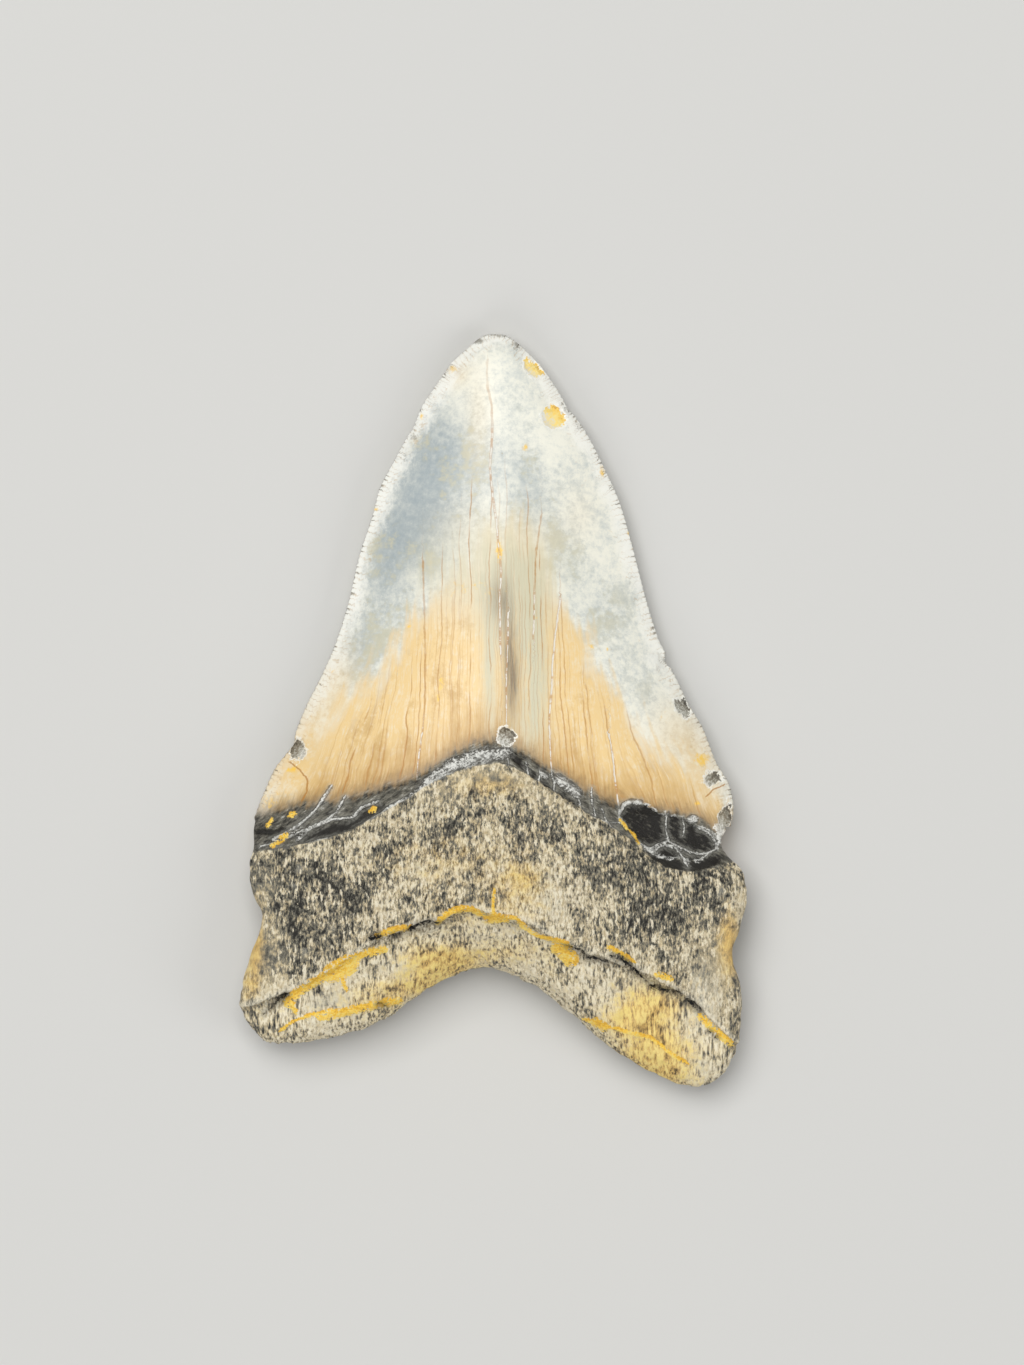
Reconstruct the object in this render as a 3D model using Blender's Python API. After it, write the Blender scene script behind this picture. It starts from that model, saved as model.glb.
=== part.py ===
"""Fossil megalodon tooth, one solid piece, lying on its flatter face with its domed face up.

X runs across the tooth, +Y points to the tip and +Z is up. The origin is under the middle of the tooth,
on the surface that it rests on. Sizes are in millimetres, and MM turns them into metres.
The tooth is two sheets that share one rim: the domed face above and the flatter face below. Each sheet is
a grid whose rows follow the growth of the tooth, from the worn tip to the arch between the root's lobes.
"""
import math

import bmesh
import bpy
from mathutils import Vector, noise

MM = 0.001

# Outline, seen from above. The sides give the place across for a place along, the two ends the reverse.
TIP_LINE = [(-7.1, 59.3), (-4.0, 62.1), (-1.7, 63.8), (0.2, 64.0), (2.1, 63.8), (4.4, 62.2), (7.6, 59.1)]
LEFT_SIDE = [
    (59.3, -7.1), (54.6, -10.4), (51.5, -12.4), (48.0, -13.8), (46.9, -14.6), (42.7, -16.9), (37.9, -19.4),
    (32.8, -20.8), (26.5, -22.9), (18.0, -24.9), (11.2, -27.1), (6.1, -29.3), (1.0, -31.9), (-3.8, -33.8),
    (-5.6, -34.1), (-7.4, -35.4), (-9.7, -37.2), (-13.4, -38.9), (-17.2, -40.4), (-20.5, -41.2),
    (-23.0, -41.0), (-26.7, -42.0), (-29.9, -41.6), (-33.8, -39.9), (-36.7, -39.7), (-41.0, -41.5),
    (-46.2, -43.0), (-49.6, -43.4), (-52.0, -42.8), (-54.7, -40.9),
]
RIGHT_SIDE = [
    (59.1, 7.6), (56.0, 9.9), (52.8, 11.9), (51.2, 12.6), (50.0, 13.9), (46.0, 16.5), (42.2, 18.4),
    (35.9, 21.3), (28.6, 23.5), (22.3, 25.1), (16.8, 26.6), (11.9, 28.2), (9.6, 29.3), (8.3, 29.1),
    (7.0, 30.3), (3.6, 32.0), (0.7, 33.4), (-2.9, 35.6), (-8.8, 37.9), (-12.6, 40.1), (-16.8, 40.8),
    (-19.9, 40.1), (-22.4, 38.8), (-24.6, 39.9), (-26.7, 42.5), (-30.4, 43.4), (-34.7, 42.8), (-39.8, 41.1),
    (-41.8, 40.5), (-45.7, 41.9), (-50.8, 42.5), (-55.9, 41.9), (-59.0, 40.9), (-61.2, 39.4),
]
BASE_LINE = [
    (-40.9, -54.7), (-38.0, -56.3), (-33.0, -56.4), (-26.1, -55.3), (-19.3, -52.9), (-14.2, -49.5),
    (-9.1, -46.1), (-4.3, -44.0), (-1.0, -43.7), (2.5, -44.5), (7.9, -47.4), (14.7, -52.9), (20.3, -57.8),
    (25.8, -61.0), (31.0, -63.5), (35.0, -64.0), (37.6, -62.9), (39.4, -61.2),
]

# Lines across the domed face, as the place along for a place across
ENAMEL_EDGE = [
    (-40.6, -17.8), (-32.9, -16.2), (-25.2, -15.1), (-18.0, -12.9), (-12.0, -10.8), (-6.5, -7.4),
    (-0.6, -5.4), (3.7, -6.6), (8.8, -9.7), (14.7, -13.1), (21.0, -16.0), (28.3, -17.4), (35.1, -18.9),
    (39.2, -21.4),
]
ROOT_TOP = [
    (-41.4, -24.2), (-32.9, -22.7), (-25.2, -20.6), (-15.9, -15.6), (-9.1, -11.6), (-2.3, -9.2), (1.3, -8.9),
    (5.4, -10.5), (11.3, -13.9), (18.1, -18.5), (24.6, -22.8), (29.4, -25.4), (33.4, -26.0), (41.2, -25.4),
]
CREST = [
    (-43.2, -50.4), (-35.4, -47.8), (-28.6, -44.3), (-21.8, -39.9), (-15.9, -37.2), (-9.1, -35.1),
    (-4.8, -33.2), (0.3, -34.2), (5.4, -35.6), (10.5, -38.4), (18.1, -41.5), (26.6, -44.9), (33.4, -48.8),
    (37.1, -52.4), (41.7, -56.9),
]

# Heights above the surface: along the middle of the crown, then across the root from middle to side
CROWN_FRONT = [(0.0, 4.2), (0.03, 6.4), (0.10, 8.3), (0.25, 10.8), (0.50, 13.6), (0.75, 15.9), (1.0, 17.8)]
CROWN_BACK = [(0.0, 4.2), (0.03, 2.9), (0.10, 1.9), (0.25, 0.8), (0.45, -0.1), (1.0, -0.3)]
RIM_HEIGHT = [(-64.0, 6.0), (-52.0, 7.6), (-42.0, 8.2), (-30.0, 8.2), (-18.0, 6.4), (0.0, 4.4), (64.0, 4.2)]
ROOT_TOP_HEIGHT = [(0.0, 18.6), (0.5, 18.0), (1.0, 16.5)]
CREST_HEIGHT = [(0.0, 23.6), (0.3, 22.7), (0.7, 19.2), (1.0, 16.4)]
BASE_HEIGHT = [(0.0, 12.6), (0.7, 12.4), (1.0, 11.2)]
ROOT_RISE = 1.7
ROOT_FALL = 0.95

# How full the sections are at their sides: 0 for the thin cutting edges, 1 for the thick root
FULL_FROM = 0.55
CROWN_FOOT_FULLNESS = 0.30
BAND_FOOT_FULLNESS = 0.55
FRONT_FLATNESS = 2.0
BACK_FLATNESS = 2.5
SIDE_ROUNDING = 0.5
BASE_SQUARENESS = 5

# Steps and hollows
BAND_DEPTH = 0.55
BAND_SINKS_OVER = 0.12
BAND_RISES_FROM = 0.8
BAND_REGAINED = 0.6
CREST_DROP = 1.0
CREST_DROPS_OVER = 0.06
CREST_DROP_FADES = (0.3, 0.9)
CREST_WANDER = 0.7
WANDER_LENGTH = 4.0
DEPTH_UNDER_FLAT = 0.3
HOLLOW_DEPTH = 1.3
HOLLOW_HALF_WIDTH = 11.0
HOLLOW_STARTS = -28.0
HOLLOW_IS_FULL = -42.0
NECK_STEP = 0.35
NECK_STEP_GROWS = (0.25, 0.6)
NECK_HALF_WIDTH = 0.6
LABIAL_NECK = [(-42.0, -27.0), (-20.0, -26.5), (0.0, -23.0), (20.0, -26.5), (43.0, -28.0)]

# Scoops in the domed face: middle across and along, half width, half length, turn in degrees, depth
SCOOPS = [
    ("left edge chip", -33.9, -6.5, 2.0, 2.3, 20, 0.9),
    ("upper right chip", 10.6, 50.2, 2.3, 1.9, -35, 0.45),
    ("chip near the tip", 6.3, 58.0, 2.2, 1.3, -45, 0.35),
    ("right edge chip", 32.6, 0.6, 1.3, 2.1, 35, 0.7),
    ("lower right edge chip", 37.6, -11.2, 2.1, 1.5, 30, 0.7),
    ("right corner chip", 39.2, -18.4, 1.7, 2.6, -20, 0.8),
    ("large flake", 29.6, -20.3, 9.2, 3.3, -14, 0.8),
    ("round pit at the point of the band", 2.1, -4.2, 1.7, 1.8, 0, 0.5),
    ("nutrient groove", 0.2, -31.8, 1.1, 3.0, 0, 0.7),
]
SCOOP_FLOOR = 0.55

# Root surface: lumps along the tooth and broad swells, as height and size across and along
LUMP_HEIGHT = 0.6
LUMP_SIZE = (2.0, 4.2)
SWELL_HEIGHT = 0.7
SWELL_SIZE = (12.0, 15.0)
CROWN_SWELL_HEIGHT = 0.12
CROWN_SWELL_SIZE = (9.0, 22.0)
BUMP_SHIFT = (11.3, 5.7)
ROOT_RELIEF_GROWS_OVER = 0.12
FRONT_RELIEF_GAIN = 3.0
BACK_RELIEF_GAIN = 2.0

# Cutting edges
SERRATIONS_PER_ROW = 3
SERRATION_DEPTH = 0.17

# Grid: the root's domed face has twice the crown's columns, and the flatter face half as many
CROWN_ROWS = 30
TIP_CROWDING = 1.12
BAND_STEPS = [0.12, 0.45, 0.80, 1.0]
UPPER_ROOT_ROWS = 17
LOWER_ROOT_STEPS = [0.05, 0.15, 0.25, 0.35, 0.45, 0.55, 0.65, 0.74, 0.82, 0.89, 0.95, 1.0]
ROOT_COLUMNS = 72
CROWN_COLUMNS = 36
BACK_COLUMNS = 18
RIM_CROWDING = 0.45
SHARP_ANGLE = 50

# Finishes: colour and roughness
FINISHES = {
    "enamel": ((0.80, 0.76, 0.62, 1.0), 0.30),
    "dental band": ((0.07, 0.07, 0.06, 1.0), 0.45),
    "root": ((0.27, 0.22, 0.13, 1.0), 0.75),
}


def clear_scene():
    for thing in list(bpy.data.objects):
        bpy.data.objects.remove(thing, do_unlink=True)


def mix(a, b, share):
    return a + (b - a) * share


def ease(start, end, value):
    share = min(max((value - start) / (end - start), 0.0), 1.0)
    return share * share * (3.0 - 2.0 * share)


def smooth_curve(points):
    """Returns a function that passes smoothly through the points, given in order of their first value."""
    ordered = sorted(points)
    places = [p[0] for p in ordered]
    values = [p[1] for p in ordered]
    last = len(ordered) - 1

    def slope(i):
        low, high = max(i - 1, 0), min(i + 1, last)
        return (values[high] - values[low]) / (places[high] - places[low])

    def value_at(place):
        place = min(max(place, places[0]), places[last])
        i = min(sum(1 for p in places[1:-1] if p <= place), last - 1)
        gap = places[i + 1] - places[i]
        s = (place - places[i]) / gap
        start = (1 + 2 * s) * (1 - s) ** 2 * values[i] + s * (1 - s) ** 2 * gap * slope(i)
        return start + s * s * (3 - 2 * s) * values[i + 1] + s * s * (s - 1) * gap * slope(i + 1)

    return value_at


def bumps(x, y, size):
    """Smooth bumps between -1 and 1 of about the given size across and along, the same in each run."""
    return noise.noise(Vector((x / size[0] + BUMP_SHIFT[0], y / size[1] + BUMP_SHIFT[1], size[0])))


left_side = smooth_curve(LEFT_SIDE)
right_side = smooth_curve(RIGHT_SIDE)
rim_height = smooth_curve(RIM_HEIGHT)
crown_front = smooth_curve(CROWN_FRONT)
crown_back = smooth_curve(CROWN_BACK)
root_top_height = smooth_curve(ROOT_TOP_HEIGHT)
crest_height = smooth_curve(CREST_HEIGHT)
base_height = smooth_curve(BASE_HEIGHT)
labial_neck = smooth_curve(LABIAL_NECK)
enamel_edge = smooth_curve(ENAMEL_EDGE)
root_top = smooth_curve(ROOT_TOP)


class Line:
    """A line across the tooth, from its left side to its right side."""

    def __init__(self, points):
        self.left, self.right = points[0], points[-1]
        self.along = smooth_curve(points)

    def point(self, across):
        """The line's point at a place from -1, the left end, to 1, the right end."""
        x = mix(self.left[0], self.right[0], (across + 1) / 2)
        return x, self.along(x)


REGIONS = [
    ("crown", Line(TIP_LINE), Line(ENAMEL_EDGE)),
    ("band", Line(ENAMEL_EDGE), Line(ROOT_TOP)),
    ("upper root", Line(ROOT_TOP), Line(CREST)),
    ("lower root", Line(CREST), Line(BASE_LINE)),
]


def row_places():
    """Each row as its region and its share of the way down that region."""
    crown = [("crown", (i / CROWN_ROWS) ** TIP_CROWDING) for i in range(CROWN_ROWS + 1)]
    band = [("band", share) for share in BAND_STEPS]
    upper = [("upper root", i / UPPER_ROOT_ROWS) for i in range(1, UPPER_ROOT_ROWS + 1)]
    lower = [("lower root", share) for share in LOWER_ROOT_STEPS]
    return crown + band + upper + lower


def column_places(count):
    """Places across from -1 to 1, closer together towards the rim."""
    even = [2 * i / count - 1 for i in range(count + 1)]
    return [mix(a, math.sin(a * math.pi / 2), RIM_CROWDING) for a in even]


def plan_point(region, share, across):
    """The place in plan of a point of the grid, which follows the outline at both sides."""
    name, top, bottom = next(r for r in REGIONS if r[0] == region)
    left_y = mix(top.left[1], bottom.left[1], share)
    right_y = mix(top.right[1], bottom.right[1], share)
    x = mix(left_side(left_y), right_side(right_y), (across + 1) / 2)
    y = mix(top.point(across)[1], bottom.point(across)[1], share)
    near_crest = {"upper root": share ** 3, "lower root": (1.0 - share) ** 3}.get(region, 0.0)
    wander = CREST_WANDER * bumps(x, 0.0, (WANDER_LENGTH, 1.0)) * (1.0 - across ** 2)
    return x, y + wander * near_crest


def fullness(region, share):
    """How round the sides are: 0 for the thin cutting edges, 1 for the thick root."""
    if region == "crown":
        return CROWN_FOOT_FULLNESS * ease(FULL_FROM, 1.0, share)
    if region == "band":
        return mix(CROWN_FOOT_FULLNESS, BAND_FOOT_FULLNESS, share)
    return 1.0 if region == "lower root" else mix(BAND_FOOT_FULLNESS, 1.0, ease(0.0, 0.5, share))


def side_shape(across, full, flatness):
    """Height share across a section, 1 in the middle and 0 at the rim."""
    reach = abs(across)
    return max(1.0 - reach ** (flatness + full), 0.0) ** (1.0 - SIDE_ROUNDING * full)


def end_shape(region, share):
    """Height share along the lower root, which rounds off at the base."""
    return math.sqrt(max(1.0 - share ** BASE_SQUARENESS, 0.0)) if region == "lower root" else 1.0


def front_middle_height(region, share, across):
    """Height of the domed face's middle line, with the sunken band and the drop below the crest."""
    reach = abs(across)
    if region == "crown":
        return crown_front(share)
    if region == "band":
        regained = BAND_REGAINED * ease(BAND_RISES_FROM, 1.0, share)
        sunk = BAND_DEPTH * ease(0.0, BAND_SINKS_OVER, share) * (1.0 - regained)
        return mix(crown_front(1.0), root_top_height(reach), share) - sunk
    if region == "upper root":
        rise = 1.0 - (1.0 - share) ** ROOT_RISE
        sunk = BAND_DEPTH * (1.0 - BAND_REGAINED) * (1.0 - share) ** 4
        return mix(root_top_height(reach), crest_height(reach), rise) - sunk
    drop = CREST_DROP * ease(0.0, CREST_DROPS_OVER, share) * (1.0 - ease(*CREST_DROP_FADES, share))
    return mix(crest_height(reach), base_height(reach), share ** ROOT_FALL) - drop


def relief(region, share, x, y):
    """Lumps and swells of the root, which fade in below the band, and faint swells of the crown."""
    if region in ("crown", "band"):
        return CROWN_SWELL_HEIGHT * bumps(x, y, CROWN_SWELL_SIZE)
    fade = ease(0.0, ROOT_RELIEF_GROWS_OVER, share) if region == "upper root" else 1.0
    return fade * (LUMP_HEIGHT * bumps(x, y, LUMP_SIZE) + SWELL_HEIGHT * bumps(x, y, SWELL_SIZE))


def scoop_depth(x, y):
    depth = 0.0
    for _, middle_x, middle_y, half_width, half_length, turn, deep in SCOOPS:
        angle = math.radians(turn)
        dx, dy = x - middle_x, y - middle_y
        across = (dx * math.cos(angle) + dy * math.sin(angle)) / half_width
        along = (dy * math.cos(angle) - dx * math.sin(angle)) / half_length
        depth = max(depth, deep * (1.0 - ease(SCOOP_FLOOR, 1.0, math.hypot(across, along))))
    return depth


def front_height(region, share, across, x, y):
    rim = rim_height(y)
    shape = side_shape(across, fullness(region, share), FRONT_FLATNESS) * end_shape(region, share)
    height = rim + (front_middle_height(region, share, across) - rim) * shape
    inside = min(shape * FRONT_RELIEF_GAIN, 1.0)
    return height + inside * (relief(region, share, x, y) - scoop_depth(x, y))


def back_height(region, share, across, x, y):
    """Height of the flatter face, which is cut off level where it touches the surface."""
    rim = rim_height(y)
    floor = crown_back(share) if region == "crown" else -DEPTH_UNDER_FLAT
    shape = side_shape(across, fullness(region, share), BACK_FLATNESS) * end_shape(region, share)
    height = rim - (rim - floor) * shape
    hollow = HOLLOW_DEPTH * ease(HOLLOW_STARTS, HOLLOW_IS_FULL, y) * math.exp(-((x / HOLLOW_HALF_WIDTH) ** 2))
    below_neck = ease(NECK_HALF_WIDTH, -NECK_HALF_WIDTH, y - labial_neck(x))
    rough = below_neck * LUMP_HEIGHT * bumps(x, y, LUMP_SIZE)
    inside = min(shape * BACK_RELIEF_GAIN, 1.0)
    step = NECK_STEP * below_neck * ease(*NECK_STEP_GROWS, abs(across))
    return max(height + inside * (hollow + step + rough), 0.0)


def rim_side(bm, points, side, inward):
    """Vertices down one side of the rim, row by row, with notched stretches between the crown's rows."""
    stretches = []
    for j in range(len(points) - 1):
        stretch = [points[j]]
        cuts = 2 * SERRATIONS_PER_ROW if j < CROWN_ROWS else 1
        for k in range(1, cuts):
            y = mix(points[j].co.y, points[j + 1].co.y, k / cuts) / MM
            x = side(y) + inward * SERRATION_DEPTH * (k % 2)
            stretch.append(bm.verts.new((x * MM, y * MM, rim_height(y) * MM)))
        stretches.append(stretch + [points[j + 1]])
    return stretches


def row_of_points(bm, region, share, count, height):
    row = []
    for across in column_places(count):
        x, y = plan_point(region, share, across)
        row.append(bm.verts.new((x * MM, y * MM, height(region, share, across, x, y) * MM)))
    return row


def front_points(bm):
    """The domed face's rows, with the finer columns from the enamel's edge on."""
    points = []
    for j, (region, share) in enumerate(row_places()):
        count = CROWN_COLUMNS if j < CROWN_ROWS else ROOT_COLUMNS
        points.append(row_of_points(bm, region, share, count, front_height))
    return points


def back_points(bm, front):
    """The flatter face's rows, whose rim is the domed face's own."""
    points = [front[0]]
    for j, (region, share) in list(enumerate(row_places()))[1:-1]:
        row = row_of_points(bm, region, share, BACK_COLUMNS, back_height)
        for end in (0, -1):
            bm.verts.remove(row[end])
            row[end] = front[j][end]
        points.append(row)
    return points + [front[-1]]


def rim_fan(bm, loop, rim):
    """Triangles of a cell at the rim, each with a vertex inside it, so that none joins two rim points."""
    start = next(k for k, vertex in enumerate(loop) if vertex in rim and loop[k - 1] not in rim)
    turned = loop[start:] + loop[:start]
    run = [vertex for vertex in turned if vertex in rim]
    inner = turned[len(run):]
    half = len(run) // 2
    faces = [(run[k], run[k + 1], inner[-1]) for k in range(half)]
    faces += [(run[half], inner[k], inner[k + 1]) for k in range(len(inner) - 1)]
    faces += [(run[k], run[k + 1], inner[0]) for k in range(half, len(run) - 1)]
    for face in faces:
        bm.faces.new(face)


def stretch_of(row, i, count):
    """The part of a row between two of a number of even cuts, with every vertex of the row in it."""
    step = (len(row) - 1) // count
    return row[i * step:(i + 1) * step + 1]


def skin(bm, points, left_rim, right_rim, counts, faces_up):
    """Faces of a sheet: one for each cell between two rows and two columns, and fans at the rim."""
    rim = {vertex for stretch in left_rim + right_rim for vertex in stretch}
    rim.update(points[0], points[-1])
    for j, count in enumerate(counts):
        for i in range(count):
            above = stretch_of(points[j], i, count)
            below = stretch_of(points[j + 1], i, count)
            left = left_rim[j] if i == 0 else [above[0], below[0]]
            right = right_rim[j] if i == count - 1 else [above[-1], below[-1]]
            loop = left + below[1:] + right[::-1][1:] + above[::-1][1:-1]
            loop = loop if faces_up else loop[::-1]
            if rim.isdisjoint(loop):
                bm.faces.new(loop)
            else:
                rim_fan(bm, loop, rim)


def build_tooth_mesh():
    bm = bmesh.new()
    front = front_points(bm)
    back = back_points(bm, front)
    left_rim = rim_side(bm, [row[0] for row in front], left_side, 1.0)
    right_rim = rim_side(bm, [row[-1] for row in front], right_side, -1.0)
    root_rows = len(front) - 1 - CROWN_ROWS
    front_counts = [CROWN_COLUMNS] * CROWN_ROWS + [ROOT_COLUMNS] * root_rows
    skin(bm, front, left_rim, right_rim, front_counts, True)
    skin(bm, back, left_rim, right_rim, [BACK_COLUMNS] * (len(front) - 1), False)
    bmesh.ops.triangulate(bm, faces=bm.faces)
    mesh = bpy.data.meshes.new("tooth")
    bm.to_mesh(mesh)
    bm.free()
    return mesh


def finish_at(place, faces_up):
    """Which finish a face has, from the middle of the face in millimetres."""
    if not faces_up:
        return "enamel" if place.y > labial_neck(place.x) else "root"
    if place.y > enamel_edge(place.x):
        return "enamel"
    return "dental band" if place.y > root_top(place.x) else "root"


def add_finishes(mesh):
    names = list(FINISHES)
    for name in names:
        colour, roughness = FINISHES[name]
        material = bpy.data.materials.new(name)
        material.use_nodes = True
        shader = material.node_tree.nodes["Principled BSDF"]
        shader.inputs["Base Color"].default_value = colour
        shader.inputs["Roughness"].default_value = roughness
        shader.inputs["Metallic"].default_value = 0.0
        mesh.materials.append(material)
    for face in mesh.polygons:
        face.material_index = names.index(finish_at(face.center / MM, face.normal.z > 0))


def build_tooth():
    mesh = build_tooth_mesh()
    add_finishes(mesh)
    mesh.shade_smooth()
    mesh.set_sharp_from_angle(angle=math.radians(SHARP_ANGLE))
    tooth = bpy.data.objects.new("tooth", mesh)
    bpy.context.scene.collection.objects.link(tooth)


clear_scene()
build_tooth()
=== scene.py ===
"""Fossil megalodon tooth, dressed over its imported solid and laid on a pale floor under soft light.

The tooth is one natural piece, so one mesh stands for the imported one. It is a merged and smoothed copy of
that, with the finer relief added: deeper serrations, flaked edges, root pits and the gaps under the ledge.
Lines and spots measured in millimetres say where each finish lies, +Y pointing to the tip. They are stored
on the mesh as attributes, which the material turns into colour, gloss and fine bumps.
"""
import math
from functools import reduce

import bpy
import numpy as np
from bpy.props import FloatProperty, FloatVectorProperty, IntProperty, PointerProperty
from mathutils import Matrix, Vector, kdtree, noise


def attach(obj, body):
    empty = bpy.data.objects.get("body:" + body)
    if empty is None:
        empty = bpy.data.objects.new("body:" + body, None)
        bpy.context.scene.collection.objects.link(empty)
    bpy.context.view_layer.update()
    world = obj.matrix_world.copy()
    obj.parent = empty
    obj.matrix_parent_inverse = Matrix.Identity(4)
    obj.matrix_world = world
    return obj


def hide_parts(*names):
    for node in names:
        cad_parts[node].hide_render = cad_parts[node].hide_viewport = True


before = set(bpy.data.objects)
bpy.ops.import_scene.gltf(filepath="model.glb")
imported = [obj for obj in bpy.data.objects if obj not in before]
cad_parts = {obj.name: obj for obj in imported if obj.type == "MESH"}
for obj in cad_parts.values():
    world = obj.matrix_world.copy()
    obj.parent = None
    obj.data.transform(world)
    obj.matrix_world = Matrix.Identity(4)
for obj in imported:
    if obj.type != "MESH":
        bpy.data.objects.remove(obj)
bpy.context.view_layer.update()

bl_info = {
    "name": "Fossil Megalodon Tooth",
    "version": (1, 0, 0),
    "blender": (4, 5, 0),
    "location": "3D View > Sidebar > Tooth",
    "description": "Finishes a fossil tooth over its packed solid and sets its stage",
    "category": "Object",
}

MM = 0.001
PICTURE_WIDTH = 1024
PICTURE_HEIGHT = 1365
MERGE_DISTANCE = 0.000002
QUAD_ANGLE = math.radians(50)

# Places along the tooth from which the cutting edges are creased and followed, in millimetres
CREASED_FROM = -20
EDGES_FROM = -22

# How far and how often the root's ledge wanders, and how far below the neck the root starts on the flat
# side, in millimetres
LEDGE_WANDER = 0.7
LEDGE_WAVE = 4.0
ROOT_HALF_WIDTH = 42.0
NECK_GAP = 0.8

# Fibres of the enamel: straight in the middle, and towards the sides they follow the crown's width
FIBRE_HALF_WIDTH = 30.0
FIBRE_MIDDLE = 25.0
FIBRE_BEND = 1.5

# Sizes of the relief's grains across, along and up, and its heights and depths, in millimetres
PIT_SIZE = (0.95, 2.3, 1.4)
LUMP_SIZE = (1.7, 3.2, 2.2)
RAGGED_SIZE = (0.9, 0.9, 0.9)
LUMP_HEIGHT = 0.28
CLAY_HEIGHT = 0.10
LIP_HEIGHT = 0.30
CHIP_DEPTH = 0.30
STRIP_DEPTH = 0.45
VEIN_HEIGHT = 0.20

# Values that stand on the flat side for far outside a stroke or outline, and for far from a crack
FAR_OUTSIDE = -8.0
FAR_AWAY = 9.0
STRONGEST_SPOT = 1.2

# Soft lights: name, place, width, share of the light power
LIGHTS = [
    ("overhead light", (-0.25, 0.4, 1.3), 1.0, 1.0),
    ("right light", (0.9, -0.3, 0.7), 0.6, 0.16),
    ("front light", (-0.3, -1.0, 0.8), 0.6, 0.2),
]
ROOM_COLOUR = (0.95, 0.97, 1.0, 1.0)
ROOM_STRENGTH = 0.3
FLOOR_RADIUS = 6.0
CAMERA_ACROSS = 3.1 * MM
CAMERA_ALONG = 4.8 * MM
FRAMED_HEIGHT = 5 * MM
NEAREST_SEEN = 10 * MM

# Lines across the domed face, as the place along for a place across, from the left edge to the right
ENAMEL_EDGE = [
    (-40.6, -17.8), (-32.9, -16.2), (-25.2, -15.1), (-18.0, -12.9), (-12.0, -10.8), (-6.5, -7.4),
    (-0.6, -5.4), (3.7, -6.6), (8.8, -9.7), (14.7, -13.1), (21.0, -16.0), (28.3, -17.4), (35.1, -18.9),
    (39.2, -21.4),
]
ROOT_TOP = [
    (-41.4, -24.2), (-32.9, -22.7), (-25.2, -20.6), (-15.9, -15.6), (-9.1, -11.6), (-2.3, -9.2), (1.3, -8.9),
    (5.4, -10.5), (11.3, -13.9), (18.1, -18.5), (24.6, -22.8), (29.4, -26.2), (33.4, -27.2), (37.3, -26.6),
    (41.2, -25.4),
]
CREST = [
    (-43.2, -50.4), (-35.4, -47.8), (-28.6, -44.3), (-21.8, -39.9), (-15.9, -37.2), (-9.1, -35.1),
    (-4.8, -33.2), (0.3, -34.2), (5.4, -35.6), (10.5, -38.4), (18.1, -41.5), (26.6, -44.9), (33.4, -48.8),
    (37.1, -52.4), (41.7, -56.9),
]
FLAT_SIDE_NECK = [(-42.0, -27.0), (-20.0, -26.5), (0.0, -23.0), (20.0, -26.5), (43.0, -28.0)]
TAN_EDGE = [
    (-41.0, -19.0), (-35.5, -17.0), (-32.0, -13.0), (-29.5, -5.5), (-26.9, 0.2), (-23.4, 3.6), (-19.5, 7.6),
    (-16.6, 11.0), (-13.7, 16.0), (-9.5, 22.0), (-4.0, 28.0), (0.5, 31.0), (7.5, 30.0), (10.5, 21.0),
    (15.2, 12.5), (19.9, 5.1), (24.2, -2.3), (27.3, -4.9), (30.5, -7.6), (34.7, -13.9), (38.5, -17.0),
]

# Lines along the tooth, as the place across for a place along
HALF_WIDTH = [
    (-24.0, 41.5), (-18.0, 40.5), (-4.0, 34.5), (18.0, 25.0), (35.0, 20.5), (48.0, 14.0), (60.0, 7.0),
]
RIM_HEIGHT = [(-64.0, 6.0), (-52.0, 7.6), (-42.0, 8.2), (-30.0, 8.2), (-18.0, 6.4), (0.0, 4.4), (64.0, 4.2)]
CRACKS = {
    "middle_crack": [
        (59.7, -1.1), (55.4, -1.1), (52.0, -0.4), (46.1, -0.3), (41.0, -0.6), (35.9, -0.1), (32.5, 0.4),
        (28.2, 0.8), (24.0, 1.2), (18.0, 1.0), (13.2, 1.1), (9.5, 1.2),
    ],
    "lower_crack": [(16.8, 2.5), (13.7, 2.4), (8.5, 2.3), (4.8, 2.1), (1.5, 2.2), (-2.4, 2.1)],
    "right_crack": [
        (18.9, 11.3), (15.8, 10.8), (9.7, 10.1), (3.6, 9.8), (-1.5, 9.4), (-10.0, 9.8), (-12.6, 10.1),
    ],
    "left_crack": [
        (25.7, -12.0), (18.9, -11.8), (10.4, -11.6), (1.9, -11.6), (-3.2, -12.0), (-8.3, -12.7),
        (-12.1, -13.0),
    ],
    "upper_crack": [(33.3, 8.1), (29.9, 7.6), (27.0, 7.2), (18.9, 6.9), (12.1, 6.7)],
    "corner_crack": [(-4.1, 19.5), (-7.5, 20.1), (-11.7, 20.5), (-16.2, 21.2)],
}

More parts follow.
